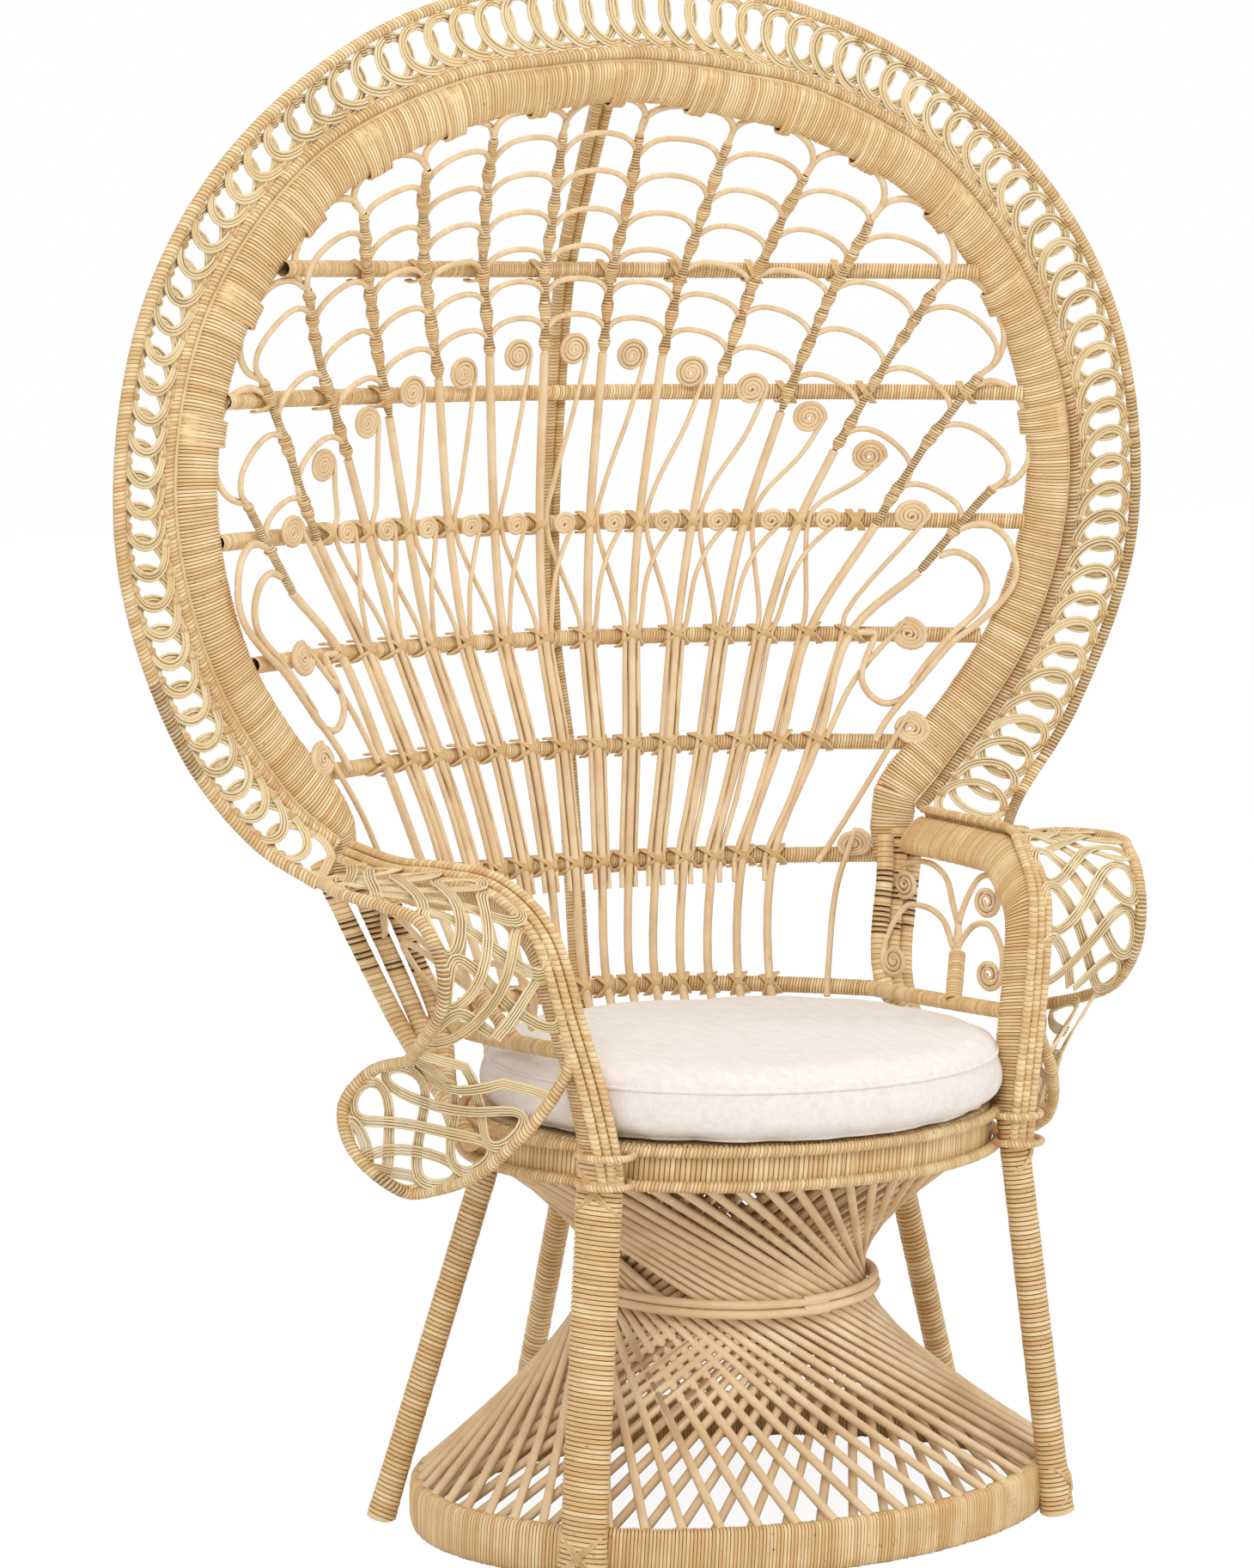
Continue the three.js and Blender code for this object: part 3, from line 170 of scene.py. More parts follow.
def linear(code: str) -> tuple[float, float, float, float]:
    """Turns an sRGB hex colour into linear values with full alpha."""
    channels = [int(code[i : i + 2], 16) / 255 for i in (1, 3, 5)]
    curve = [c / 12.92 if c <= 0.04045 else ((c + 0.055) / 1.055) ** 2.4 for c in channels]
    return (*curve, 1.0)


class Surface(Enum):
    """How the colour of a finish runs over its piece."""

    WOUND = "turns of cane round a core"
    PEELED = "grain along a bare rod"
    WOVEN = "plain weave"


@dataclass(frozen=True)
class Finish:
    """One real material: its colours, gloss and the scale of its pattern."""

    name: str
    slot: str
    surface: Surface
    pale: str
    deep: str
    # Dark colour for real streaks, spots and specks, and for the painted shade between turns and
    # strands
    dark_marks_and_shade: str
    roughness: float
    ior: float
    grain_mm: float

    def material(self) -> bpy.types.Material:
        """Builds the node material for this finish."""
        material = bpy.data.materials.new(self.name)
        material.use_nodes = True
        tree = material.node_tree
        tree.nodes.clear()
        painter = {
            Surface.WOUND: self.paint_wound,
            Surface.PEELED: self.paint_peeled,
            Surface.WOVEN: self.paint_woven,
        }[self.surface]
        colour, height = painter(tree)
        bump = add_node(
            tree, "ShaderNodeBump", {"Strength": 0.35, "Distance": 0.0006}, {"Height": height}
        )
        shader = add_node(
            tree,
            "ShaderNodeBsdfPrincipled",
            {"Roughness": self.roughness, "IOR": self.ior},
            {"Base Color": colour, "Normal": bump.outputs["Normal"]},
        )
        add_node(tree, "ShaderNodeOutputMaterial", {}, {"Surface": shader.outputs["BSDF"]})
        return material

    def blend(
        self,
        tree: bpy.types.NodeTree,
        factor: bpy.types.NodeSocket,
        first: bpy.types.NodeSocket | str,
        second: str,
    ) -> bpy.types.NodeSocket:
        """Mixes a colour with a hex colour by a factor and returns the mixed colour."""
        node = add_node(tree, "ShaderNodeMixRGB", {"Color2": linear(second)}, {"Fac": factor})
        if isinstance(first, str):
            node.inputs["Color1"].default_value = linear(first)
        else:
            tree.links.new(first, node.inputs["Color1"])
        return node.outputs["Color"]

    def noise(
        self,
        tree: bpy.types.NodeTree,
        size: float,
        stretch: tuple[float, float, float],
        source: bpy.types.NodeSocket | None = None,
    ) -> bpy.types.NodeSocket:
        """Adds a noise with stretched blots, sized in millimetres or in the unit of its source."""
        unit = 1.0 if source else MM
        place = source or add_node(tree, "ShaderNodeTexCoord").outputs["Object"]
        mapping = add_node(tree, "ShaderNodeMapping", {"Scale": stretch}, {"Vector": place})
        node = add_node(
            tree,
            "ShaderNodeTexNoise",
            {"Scale": 1 / (size * unit), "Detail": 3.0, "Roughness": 0.6},
            {"Vector": mapping.outputs["Vector"]},
        )
        return node.outputs["Fac"]

    def band(
        self, tree: bpy.types.NodeTree, value: bpy.types.NodeSocket, low: float, high: float
    ) -> bpy.types.NodeSocket:
        """Stretches the part of a value between low and high to the range 0 to 1."""
        node = add_node(
            tree, "ShaderNodeMapRange", {"From Min": low, "From Max": high}, {"Value": value}
        )
        return node.outputs["Result"]

    def paint_wound(
        self, tree: bpy.types.NodeTree
    ) -> tuple[bpy.types.NodeSocket, bpy.types.NodeSocket]:
        """Paints each turn in its own tone, with painted shade in the gaps between turns and dark
        streaks of bark.

        Returns:
            The colour and the height for the bump.
        """
        tint = add_node(tree, "ShaderNodeAttribute", attribute_name="tint").outputs["Fac"]
        groove = add_node(tree, "ShaderNodeAttribute", attribute_name="groove").outputs["Fac"]
        cloud = self.noise(tree, 60, (1, 1, 1))
        fine = self.noise(tree, self.grain_mm, (1, 1, 1))
        colour = self.blend(tree, self.band(tree, tint, 0.1, 1.0), self.pale, self.deep)
        warm = self.blend(tree, self.band(tree, cloud, 0.45, 0.75), colour, self.deep)
        flecked = self.blend(tree, self.band(tree, fine, 0.66, 0.78), warm, self.dark_marks_and_shade)
        # Painted shade: the groove mark darkens the gaps between turns
        return self.blend(tree, self.band(tree, groove, 0.0, 1.25), flecked, self.dark_marks_and_shade), fine

    def paint_peeled(
        self, tree: bpy.types.NodeTree
    ) -> tuple[bpy.types.NodeSocket, bpy.types.NodeSocket]:
        """Paints fine lengthwise grain on the rod's own UV map, over soft clouds, with painted
        shade where strands lie close together.

        Returns:
            The colour and the height for the bump.
        """
        own = add_node(tree, "ShaderNodeUVMap", uv_map="UVMap").outputs["UV"]
        grain = self.noise(tree, 0.2, (2.0, 0.12, 1), source=own)
        cloud = self.noise(tree, 45, (1, 1, 1))
        spots = self.noise(tree, self.grain_mm, (1, 1, 0.4))
        colour = self.blend(tree, self.band(tree, grain, 0.35, 0.75), self.pale, self.deep)
        clouded = self.blend(tree, self.band(tree, cloud, 0.45, 0.8), colour, self.deep)
        spotted = self.blend(tree, self.band(tree, spots, 0.7, 0.85), clouded, self.dark_marks_and_shade)
        # Painted shade: points marked as facing a close neighbour blend towards the dark colour
        groove = add_node(tree, "ShaderNodeAttribute", attribute_name="groove").outputs["Fac"]
        return self.blend(tree, self.band(tree, groove, 0.0, 1.2), spotted, self.dark_marks_and_shade), grain

    def paint_woven(
        self, tree: bpy.types.NodeTree
    ) -> tuple[bpy.types.NodeSocket, bpy.types.NodeSocket]:
        """Paints a plain weave of slubby threads with a few dark specks of seed husk.

        Returns:
            The colour and the height for the bump.
        """
        place = add_node(tree, "ShaderNodeTexCoord").outputs["Object"]
        threads = []
        for direction in ("X", "Y"):
            wave = add_node(
                tree,
                "ShaderNodeTexWave",
                {"Scale": 1 / (6.3 * self.grain_mm * MM), "Distortion": 0.6, "Detail Scale": 2.0},
                {"Vector": place},
                bands_direction=direction,
            )
            threads.append(wave.outputs["Fac"])
        weave = add_node(
            tree, "ShaderNodeMath", {}, {0: threads[0], 1: threads[1]}, operation="MULTIPLY"
        )
        slub = self.noise(tree, 7, (1, 0.25, 1))
        speck = self.noise(tree, 2.6, (1, 1, 1))
        colour = self.blend(tree, self.band(tree, slub, 0.4, 0.8), self.pale, self.deep)
        specked = self.blend(tree, self.band(tree, speck, 0.76, 0.8), colour, self.dark_marks_and_shade)
        return specked, weave.outputs["Value"]


def add_node(
    tree: bpy.types.NodeTree,
    kind: str,
    values: dict | None = None,
    links: dict | None = None,
    **settings,
) -> bpy.types.Node:
    """Adds a shader node.

    Args:
        tree: The material's node tree.
        kind: The node's type name.
        values: Socket name to value.
        links: Socket name to the socket that feeds it.
        settings: The node's own properties.

    Returns:
        The new node.
    """
    node = tree.nodes.new(kind)
    for key, value in settings.items():
        setattr(node, key, value)
    for key, value in (values or {}).items():
        node.inputs[key].default_value = value
    for key, socket in (links or {}).items():
        tree.links.new(socket, node.inputs[key])
    return node


# Glossy rattan skin, split into flat cane: it takes a soft shine and keeps dark streaks of bark
WOUND_CANE = Finish(
    "wound_cane_skin", "wrapped_cane", Surface.WOUND, "#f7dead", "#dfb57c", "#6a4424",
    0.42, 1.5, 5.0,
)
# Rattan rod with its skin peeled off: matt, even and a little pinker than the skin
PEELED_ROD = Finish(
    "peeled_rattan_rod", "peeled_rattan", Surface.PEELED, "#f3dcb4", "#dcb88a", "#8a6138",
    0.55, 1.48, 6.0,
)
# Thin core strands for the lace: paler than the skin, with painted shade in the fine dark lines
# between the strands
LACE_CORE = Finish(
    "lace_cane_core", "lace_cane", Surface.PEELED, "#f3e1b8", "#dfc48f", "#6f5230", 0.5, 1.48, 5.0
)
# Narrow split cane for the crossed ties, a little darker than the peeled rods, with painted shade
# where its strands lie close together
TIE_CANE = Finish(
    "split_cane_tie", "wrapped_cane", Surface.PEELED, "#ecce9b", "#d1a76c", "#7a5330", 0.5, 1.5, 5.0
)
# Undyed cotton canvas with seed husks in it
CANVAS = Finish(
    "cotton_canvas", "canvas", Surface.WOVEN, "#f1ece6", "#e6dfd7", "#b9a892", 0.92, 1.45, 1.6
)

MATERIALS: dict[str, bpy.types.Material] = {}


def dress(piece: bpy.types.Object, finish: Finish) -> None:
    """Gives a piece its finish."""
    if finish.name not in MATERIALS:
        MATERIALS[finish.name] = finish.material()
    piece.data.materials.clear()
    piece.data.materials.append(MATERIALS[finish.name])


# Modelling


def depth_shift() -> float:
    """Returns how far back, in millimetres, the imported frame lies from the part's own drawing."""
    low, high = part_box("base_ring")
    return (low.y + high.y) / 2 / MM - Base.centre_y


def to_frame(path: Sequence[Vector]) -> Path:
    """Turns points of the drawing, in millimetres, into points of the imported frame, in metres."""
    shift = Vector((0, SHIFT, 0))
    return [(p + shift) * MM for p in path]


def deselect_all() -> None:
    """Leaves nothing selected, so that an operator touches only what is picked next."""
    for chosen in bpy.context.selected_objects:
        chosen.select_set(False)


def pick(*objects: bpy.types.Object) -> None:
    """Selects only these objects and makes the first one active."""
    deselect_all()
    for chosen in objects:
        chosen.select_set(True)
    bpy.context.view_layer.objects.active = objects[0]


def apply_modifiers(piece: bpy.types.Object) -> None:
    """Applies all of a piece's modifiers in order."""
    pick(piece)
    for modifier in list(piece.modifiers):
        bpy.ops.object.modifier_apply(modifier=modifier.name)


def join(pieces: Sequence[bpy.types.Object]) -> bpy.types.Object:
    """Joins pieces into the first one."""
    pick(*pieces)
    if len(pieces) > 1:
        bpy.ops.object.join()
    return pieces[0]


def close_and_smooth(piece: bpy.types.Object, angle: float = 50.0) -> None:
    """Merges doubles, closes open ends, points faces outwards and shades by angle."""
    pick(piece)
    bpy.ops.object.mode_set(mode="EDIT")
    bpy.ops.mesh.select_all(action="SELECT")
    bpy.ops.mesh.remove_doubles(threshold=0.00002)
    bpy.ops.mesh.fill_holes(sides=0)
    bpy.ops.mesh.select_all(action="SELECT")
    bpy.ops.mesh.normals_make_consistent(inside=False)
    bpy.ops.object.mode_set(mode="OBJECT")
    bpy.ops.object.shade_smooth_by_angle(angle=math.radians(angle))


def mark_crevice_shade(piece: bpy.types.Object, reach: float = 1.6) -> None:
    """Marks the points that face a close neighbour, for the painted shade in the lines between
    strands.

    Args:
        piece: A finished piece of bare rods.
        reach: How close the neighbour is, in millimetres.
    """
    mesh = piece.data
    build = bmesh.new()
    build.from_mesh(mesh)
    build.normal_update()
    tree = BVHTree.FromBMesh(build)
    marks = []
    for vertex in build.verts:
        start = vertex.co + vertex.normal * 0.00005
        hit, _, _, _ = tree.ray_cast(start, vertex.normal, reach * MM)
        marks.append(0.0 if hit is None else 1.0)
    build.free()
    mesh.attributes.new("groove", "FLOAT", "POINT").data.foreach_set("value", marks)


def hand_over(
    piece: bpy.types.Object,
    name: str,
    finish: Finish,
    replaced: Sequence[str] = (),
    body: str = FRAME_BODY,
) -> bpy.types.Object:
    """Finishes a piece: name, faces, material, body and the CAD nodes that it stands for.

    Args:
        piece: The modelled piece, in place.
        name: Its name.
        finish: What it is made of.
        replaced: CAD nodes that it replaces.
        body: The CAD body that it rides on.

    Returns:
        The piece.
    """
    piece.name = name
    piece.data.name = name
    close_and_smooth(piece)
    if finish.surface is Surface.PEELED:
        mark_crevice_shade(piece)
    dress(piece, finish)
    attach(piece, body)
    if replaced:
        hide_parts(*replaced)
    log.info("%s: %d faces", name, len(piece.data.polygons))
    return piece


@dataclass(frozen=True)
class Turn:
    """One turn of cane round a core: section and pitch in millimetres.

    The wide axis lies along the facing direction. A boxy turn has a squarer section. The groove is
    the factor of the section between turns. The gap is the share of the pitch, at each end of a
    turn, over which the section narrows to it.
    """

    wide: float
    thick: float
    pitch: float
    sides: int = 8
    boxy: float = 1.0
    groove: float = 0.9
    gap: float = 0.15

    def model(self) -> bpy.types.Object:
        """Models the turn along +X: a short open cylinder whose rims narrow into the gaps."""
        crown = (1 - 2 * self.gap) * self.pitch * MM
        shoulder = self.gap * self.pitch * MM
        deselect_all()
        bpy.ops.mesh.primitive_cylinder_add(
            vertices=self.sides,
            radius=0.5,
            depth=crown,
            end_fill_type="NOTHING",
            location=(shoulder + crown / 2, 0, 0),
            rotation=(0, math.pi / 2, 0),
        )
        turn = bpy.context.object
        bpy.ops.object.transform_apply(location=True, rotation=True, scale=False)
        for vertex in turn.data.vertices:
            angle = math.atan2(vertex.co.z, vertex.co.y)
            across, up = math.cos(angle), math.sin(angle)
            vertex.co.y = math.copysign(abs(across) ** self.boxy, across) * self.wide / 2 * MM
            vertex.co.z = math.copysign(abs(up) ** self.boxy, up) * self.thick / 2 * MM
        for step in (-shoulder, shoulder):
            edge_x = shoulder if step < 0 else shoulder + crown
            for vertex in turn.data.vertices:
                vertex.select = abs(vertex.co.x - edge_x) < shoulder / 2
            bpy.ops.object.mode_set(mode="EDIT")
            bpy.ops.mesh.select_mode(type="VERT")
            bpy.ops.mesh.extrude_region_move(TRANSFORM_OT_translate={"value": (step, 0, 0)})
            bpy.ops.transform.resize(
                value=(1, self.groove, self.groove), center_override=(edge_x + step, 0, 0)
            )
            bpy.ops.mesh.select_all(action="DESELECT")
            bpy.ops.object.mode_set(mode="OBJECT")
        return turn


TURNS: dict[Turn, bpy.types.Mesh] = {}

# The cane round both poles of the hoop and the rims of the wings
POLE_TURN = Turn(12, 12, 4.0)


def straight_binding(turn: Turn, count: int) -> bpy.types.Object:
    """Arrays one turn of cane into a straight bound rod along +X."""
    if turn not in TURNS:
        model = turn.model()
        TURNS[turn] = model.data.copy()
        bpy.data.objects.remove(model)
    rod = bpy.data.objects.new("rod", TURNS[turn].copy())
    bpy.context.scene.collection.objects.link(rod)
    array = rod.modifiers.new("turns", "ARRAY")
    array.count = count
    array.use_relative_offset = False
    array.use_constant_offset = True
    array.constant_offset_displace = (turn.pitch * MM, 0, 0)
    array.use_merge_vertices = True
    array.merge_threshold = 0.5 * turn.gap * turn.pitch * MM
    apply_modifiers(rod)
    return rod


def guide_line(
    path: Sequence[Vector], facing: Facing | None = None, closed: bool = False
) -> bpy.types.Object:
    """Draws the guide curve that a straight piece is bent along.

    Args:
        path: Its points, in millimetres of the drawing.
        facing: Direction that the section's wide axis looks in at each point.
        closed: Whether it is a ring.

    Returns:
        The curve object, whose tilt carries the facing.
    """
    points = to_frame(path)
    deselect_all()
    bpy.ops.curve.primitive_nurbs_path_add()
    guide = bpy.context.object
    guide.location = (0, 0, 0)
    curve = guide.data
    curve.splines.clear()
    curve.twist_mode = "MINIMUM"
    line = curve.splines.new("POLY")
    line.points.add(len(points) - 1)
    line.points.foreach_set("co", [v for p in points for v in (*p, 1)])
    line.use_cyclic_u = closed
    if facing is not None:
        line.points.foreach_set("tilt", tilts(points, facing, closed))
    return guide


def tilts(points: Sequence[Vector], facing: Facing, closed: bool) -> list[float]:
    """Works out the tilt at each point that turns a section's wide axis to its facing."""
    directions = tangents(points, closed)
    turned = directions[0].to_track_quat("-Z", "Y")
    found: list[float] = []
    for i, direction in enumerate(directions):
        if i:
            turned = directions[i - 1].rotation_difference(direction) @ turned
        wide = turned @ Vector((1, 0, 0))
        wanted = facing(i)
        wanted = (wanted - direction * wanted.dot(direction)).normalized()
        angle = math.atan2(wide.cross(wanted).dot(direction), wide.dot(wanted))
        if found:
            angle += 2 * math.pi * round((found[-1] - angle) / (2 * math.pi))
        found.append(angle)
    return found


def wind(
    path: Sequence[Vector],
    turn: Turn,
    facing: Facing | None = None,
    closed: bool = False,
    swell: Callable[[float], float] | None = None,
    seed: int = 1,
) -> bpy.types.Object:
    """Winds cane along a path: a straight bound rod, made a little uneven and then bent.

    Args:
        path: The core's centre line, in millimetres of the drawing.
        turn: The turn of cane.
        facing: Direction of the section's wide axis at each point.
        closed: Whether the path is a ring.
        swell: Thickness factor at a share of the length.
        seed: Seed of the turns' tones and unevenness.

    Returns:
        The bound rod.
    """
    length = path_length(path, closed) * MM
    count = max(2, round(length / (turn.pitch * MM)))
    rod = straight_binding(turn, count)
    mesh = rod.data
    points = np.empty(len(mesh.vertices) * 3)
    mesh.vertices.foreach_get("co", points)
    points = points.reshape(-1, 3)
    place = points[:, 0] / (turn.pitch * MM)
    index = np.clip(np.floor(place + 1e-4).astype(int), 0, count - 1)
    random = np.random.default_rng(seed)
    tone = random.random(count + 1)
    uneven = 1 + 0.035 * (random.random(count + 1) - 0.5)
    lean = 0.35 * turn.pitch * MM * (0.6 + 0.8 * random.random(count + 1))
    # Points in the gaps between turns are marked for painted shade; the rod's ends stay unmarked so
    # the end caps are not painted dark
    groove = (np.abs(place - np.round(place)) < 0.5 * turn.gap).astype(np.float32)
    crest = groove < 0.5
    groove[(place < 0.1) | (place > count - 0.1)] = 0
    scale = np.where(crest, uneven[index], 1.0)
    if swell is not None:
        scale = scale * np.array([swell(p / count) for p in place])
    points[:, 1] *= scale
    points[:, 2] *= scale
    fit = length / (count * turn.pitch * MM)
    points[:, 0] = points[:, 0] * fit
    inside = np.minimum(place, count - place)
    slant = np.where(inside > 0.5, lean.mean() * points[:, 2] / (turn.thick / 2 * MM), 0.0)
    points[:, 0] += slant
    mesh.vertices.foreach_set("co", points.ravel())
    for name, values in (("tint", tone[index]), ("groove", groove)):
        layer = mesh.attributes.new(name, "FLOAT", "POINT")
        layer.data.foreach_set("value", values.astype(np.float32))
    guide = guide_line(path, facing, closed)
    bend = rod.modifiers.new("bend", "CURVE")
    bend.object = guide
    bend.deform_axis = "POS_X"
    apply_modifiers(rod)
    bpy.data.objects.remove(guide)
    return rod


@dataclass
class Rod:
    """A bare rod: its centre line in millimetres, and its radius at each end."""

    path: Path
    radius: float
    end_radius: float | None = None


def bend_rods(rods: Sequence[Rod], resolution: int = 2) -> bpy.types.Object:
    """Bends bare rods: one curve with a round bevel, turned into a mesh.

    Args:
        rods: The rods.
        resolution: Bevel resolution; 2 gives eight sides.

    Returns:
        The rods as one mesh object.
    """
    deselect_all()
    bpy.ops.curve.primitive_nurbs_path_add()
    bundle = bpy.context.object
    bundle.location = (0, 0, 0)
    curve = bundle.data
    curve.splines.clear()
    curve.bevel_depth = MM
    curve.bevel_resolution = resolution
    curve.use_fill_caps = True
    for rod in rods:
        points = to_frame(rod.path)
        line = curve.splines.new("POLY")
        line.points.add(len(points) - 1)
        line.points.foreach_set("co", [v for p in points for v in (*p, 1)])
        end = rod.radius if rod.end_radius is None else rod.end_radius
        radii = [mix(rod.radius, end, i / (len(points) - 1)) for i in range(len(points))]
        line.points.foreach_set("radius", radii)
    pick(bundle)
    bpy.ops.object.convert(target="MESH")
    return bundle


def strand_row(
    path: Sequence[Vector], normal: Callable[[int], Vector], count: int, spacing: float
) -> list[Path]:
    """Lays strands side by side along a path, in the surface with the given normal."""
    directions = tangents(path)
    rows = []
    for k in range(count):
        offset = (k - (count - 1) / 2) * spacing
        rows.append(
            [p + directions[i].cross(normal(i)).normalized() * offset for i, p in enumerate(path)]
        )
    return rows


def cross_lashing(
    centre: Vector, right: Vector, up: Vector, out: Vector, half: float, depth: float, reach: float
) -> list[Rod]:
    """Ties two crossing pieces with an X of thin cane.

    Args:
        centre: Where the pieces cross, on the middle of the rear one.
        right: Direction along the rear piece.
        up: Direction along the front piece.
        out: Direction from the rear piece to the front one.
        half: Half the width of the front piece.
        depth: How far the front of the front piece stands off the centre.
        reach: Half the width of the rear piece.

    Returns:
        The lashing's canes.
    """
    strand_radius, overhang, bulge = 1.5, 2.0, 1.2
    shares = (
        (-1.0, 1.0, 0), (-0.92, 0.9, 0.45), (0, 0, 1), (0.92, -0.9, 0.45), (1.0, -1.0, 0),
    )
    canes = []
    for sign in (-1, 1):
        for shift in (-2.7, 0.0, 2.7):
            path = [
                centre
                + right * (sign * x * (half + overhang) + shift)
                + up * (z * reach)
                + out * (f * (depth + bulge))
                for x, z, f in shares
            ]
            canes.append(Rod(spline(path, 3), strand_radius))
    return canes


# The round back


@dataclass(frozen=True)
class Base:
    """Sizes of the base ring."""

    half_width: float = 338.0
    half_depth: float = 252.0
    centre_y: float = -64.0
    height: float = 49.0
    thickness: float = 18.0


SHIFT = depth_shift()


@dataclass
class Hoop:
    """The round back's edge: two poles, the lace between them and the wide wound band."""

    half_width: float = 580.0
    height: float = 1506.0
    setting_back: float = 140.0
    bead_radius: float = 6.0
    band_width: float = 46.0
    band_thickness: float = 24.0
    band_clearance: float = 2.3
    loops: int = 84
    rim_shares: Sequence = (
        (0, 1.12, 1), (0.3, 1.08, 0.985), (0.56, 0.98, 0.946), (0.82, 0.84, 0.863),
        (0.962, 0.76, 0.764), (0.996, 0.74, 0.627), (0.885, 0.8, 0.505), (0.759, 0.76, 0.442),
        (0.679, 0.47, 0.417),
    )
    bead_shares: Sequence = (
        (0, 1, 0.95), (0.2, 1, 0.943), (0.36, 1.02, 0.932), (0.63, 1, 0.881), (0.829, 0.96, 0.785),
        (0.897, 0.92, 0.668), (0.826, 0.97, 0.551), (0.655, 1.08, 0.458), (0.583, 1, 0.435),
    )
    inner_shares: Sequence = (
        (0, 1.2, 0.921), (0.16, 1.14, 0.915), (0.31, 1.1, 0.902), (0.576, 1.04, 0.853),
        (0.769, 1, 0.749), (0.803, 0.99, 0.651), (0.764, 1.06, 0.574), (0.622, 1.17, 0.484),
        (0.53, 1.12, 0.434),
    )

    def __post_init__(self) -> None:
        """Draws the three guide lines of the hoop."""
        self.rim = self.line(self.rim_shares)
        self.bead = self.line(self.bead_shares)
        self.inner = self.line(self.inner_shares)

    def line(self, shares: Sequence) -> Path:
        """Draws a line round the hoop from the shares of its right half."""
        half = [
            Vector((wide * self.half_width, back * self.setting_back, high * self.height))
            for wide, back, high in shares
        ]
        return spline([*mirrored(half[1:])[::-1], *half], 12)

    def across(self, i: int) -> Vector:
        """Returns the direction from the bead to the inside of the hoop, square to the bead."""
        tangent = tangents(self.bead[max(i - 1, 0) : i + 2])[1 if i else 0]
        to_inside = self.inner[i] - self.bead[i]
        return (to_inside - tangent * to_inside.dot(tangent)).normalized()

    def band_line(self) -> Path:
        """Returns the middle of the wide band."""
        reach = self.bead_radius + self.band_clearance + self.band_width / 2
        return [p + self.across(i) * reach for i, p in enumerate(self.bead)]

    def lace(self) -> tuple[list[Rod], list[tuple[Vector, Vector]]]:
        """Runs three strands round the hoop in loops that catch their neighbours.

        Returns:
            The strands, and the two ends of each tie to a pole.
        """
        steps, look = 22, 0.003
        swing, weave, margin = 0.88, 2.6, 9.0
        path: Path = []
        normals: Path = []
        ties: list[tuple[Vector, Vector]] = []
        first, last = 0.4, self.loops - 0.4
        count = round((last - first) * steps)
        for i in range(count + 1):
            turn = first + (last - first) * i / count
            angle = 2 * math.pi * turn
            share = min(max((turn + swing * math.sin(angle)) / self.loops, 0.0), 1.0)
            outer, inner = along(self.rim, share), along(self.bead, share)
            out = (outer - inner).normalized()
            ahead, behind = min(share + look, 1), max(share - look, 0)
            tangent = (along(self.rim, ahead) - along(self.rim, behind)).normalized()
            normal = out.cross(tangent).normalized()
            reach = (outer - inner).length / 2 - margin
            middle = (outer + inner) / 2
            path.append(
                middle - out * (reach * math.cos(angle)) + normal * (weave * math.sin(angle))
            )
            normals.append(normal)
        for k in range(1, self.loops):
            for shift, pole, other in ((0.5, self.rim, self.bead), (0.0, self.bead, self.rim)):
                share = (k + shift) / self.loops
                if share < 1:
                    start, far = along(pole, share), along(other, share)
                    ties.append((start, start + (far - start).normalized() * (margin + 4.5)))
        rows = strand_row(path, lambda i: normals[i], 3, 3.2)
        return [Rod(row, 1.7) for row in rows], ties

    def build(self) -> None:
        """Builds the poles, the lace with its ties, the band's edge rod and the band; its steps
        where scallops are bound in are wound by build_bindings.
        """
        pole = wind(self.rim, POLE_TURN, seed=11)
        hand_over(pole, "outer_pole", WOUND_CANE, ["arch_rim"])
        bead = wind(self.bead, POLE_TURN, seed=12)
        hand_over(bead, "inner_pole", WOUND_CANE, ["arch_bead"])
        strands, ties = self.lace()
        hand_over(bend_rods(strands, 1), "hoop_lace", LACE_CORE, ["lace_ring"])
        tie_turn = Turn(9, 8, 2.6, 8)
        wound = [wind([a, b], tie_turn, seed=100 + i) for i, (a, b) in enumerate(ties)]
        hand_over(join(wound), "lace_ties", WOUND_CANE)
        edge = [p + self.across(i) * (self.bead_radius + 2.4) for i, p in enumerate(self.bead)]
        hand_over(bend_rods([Rod(edge, 2.9)]), "band_edge_rod", PEELED_ROD)
        line, facing = self.band_line(), [self.across(i) for i in range(len(self.bead))]
        for side in SIDES:
            end = line[0] if side < 0 else line[-1]
            turned = facing[0] if side < 0 else facing[-1]
            tail = [end + Vector((side * x, y, z)) for x, y, z in ((-3, 1, -34), (-2, -5, -62))]
            line = [*tail[::-1], *line] if side < 0 else [*line, *tail]
            facing = [turned, turned, *facing] if side < 0 else [*facing, turned, turned]
        turn = Turn(self.band_width + 1.5, self.band_thickness, 3.3, 16, 0.8)
        main = wind(line, turn, lambda i: facing[i], seed=13)
        hand_over(main, "hoop_band", WOUND_CANE, ["arch_band"])

    def build_bindings(self, places: Sequence[Vector]) -> None:
        """Winds the steps in the band's inner edge where scallops are bound in."""
        line = self.band_line()
        stretch = ((-2, 0.5), (-1, 0.5), (1, 0.0), (1, 0.5), (2, 0.5))
        lift = 3.4
        turn = Turn(self.band_width + 6.5, self.band_thickness + 2.4, 3.3, 16, 0.8)
        wound = []
        for k, place in enumerate(places):
            i = min(range(3, len(line) - 3), key=lambda j: (line[j] - place).length)
            inward = self.across(i)
            path = [line[i].lerp(line[i + step], share) + inward * lift for step, share in stretch]
            wound.append(wind(path, turn, facing_to(inward), seed=200 + k))
        hand_over(join(wound), "band_bindings", WOUND_CANE)


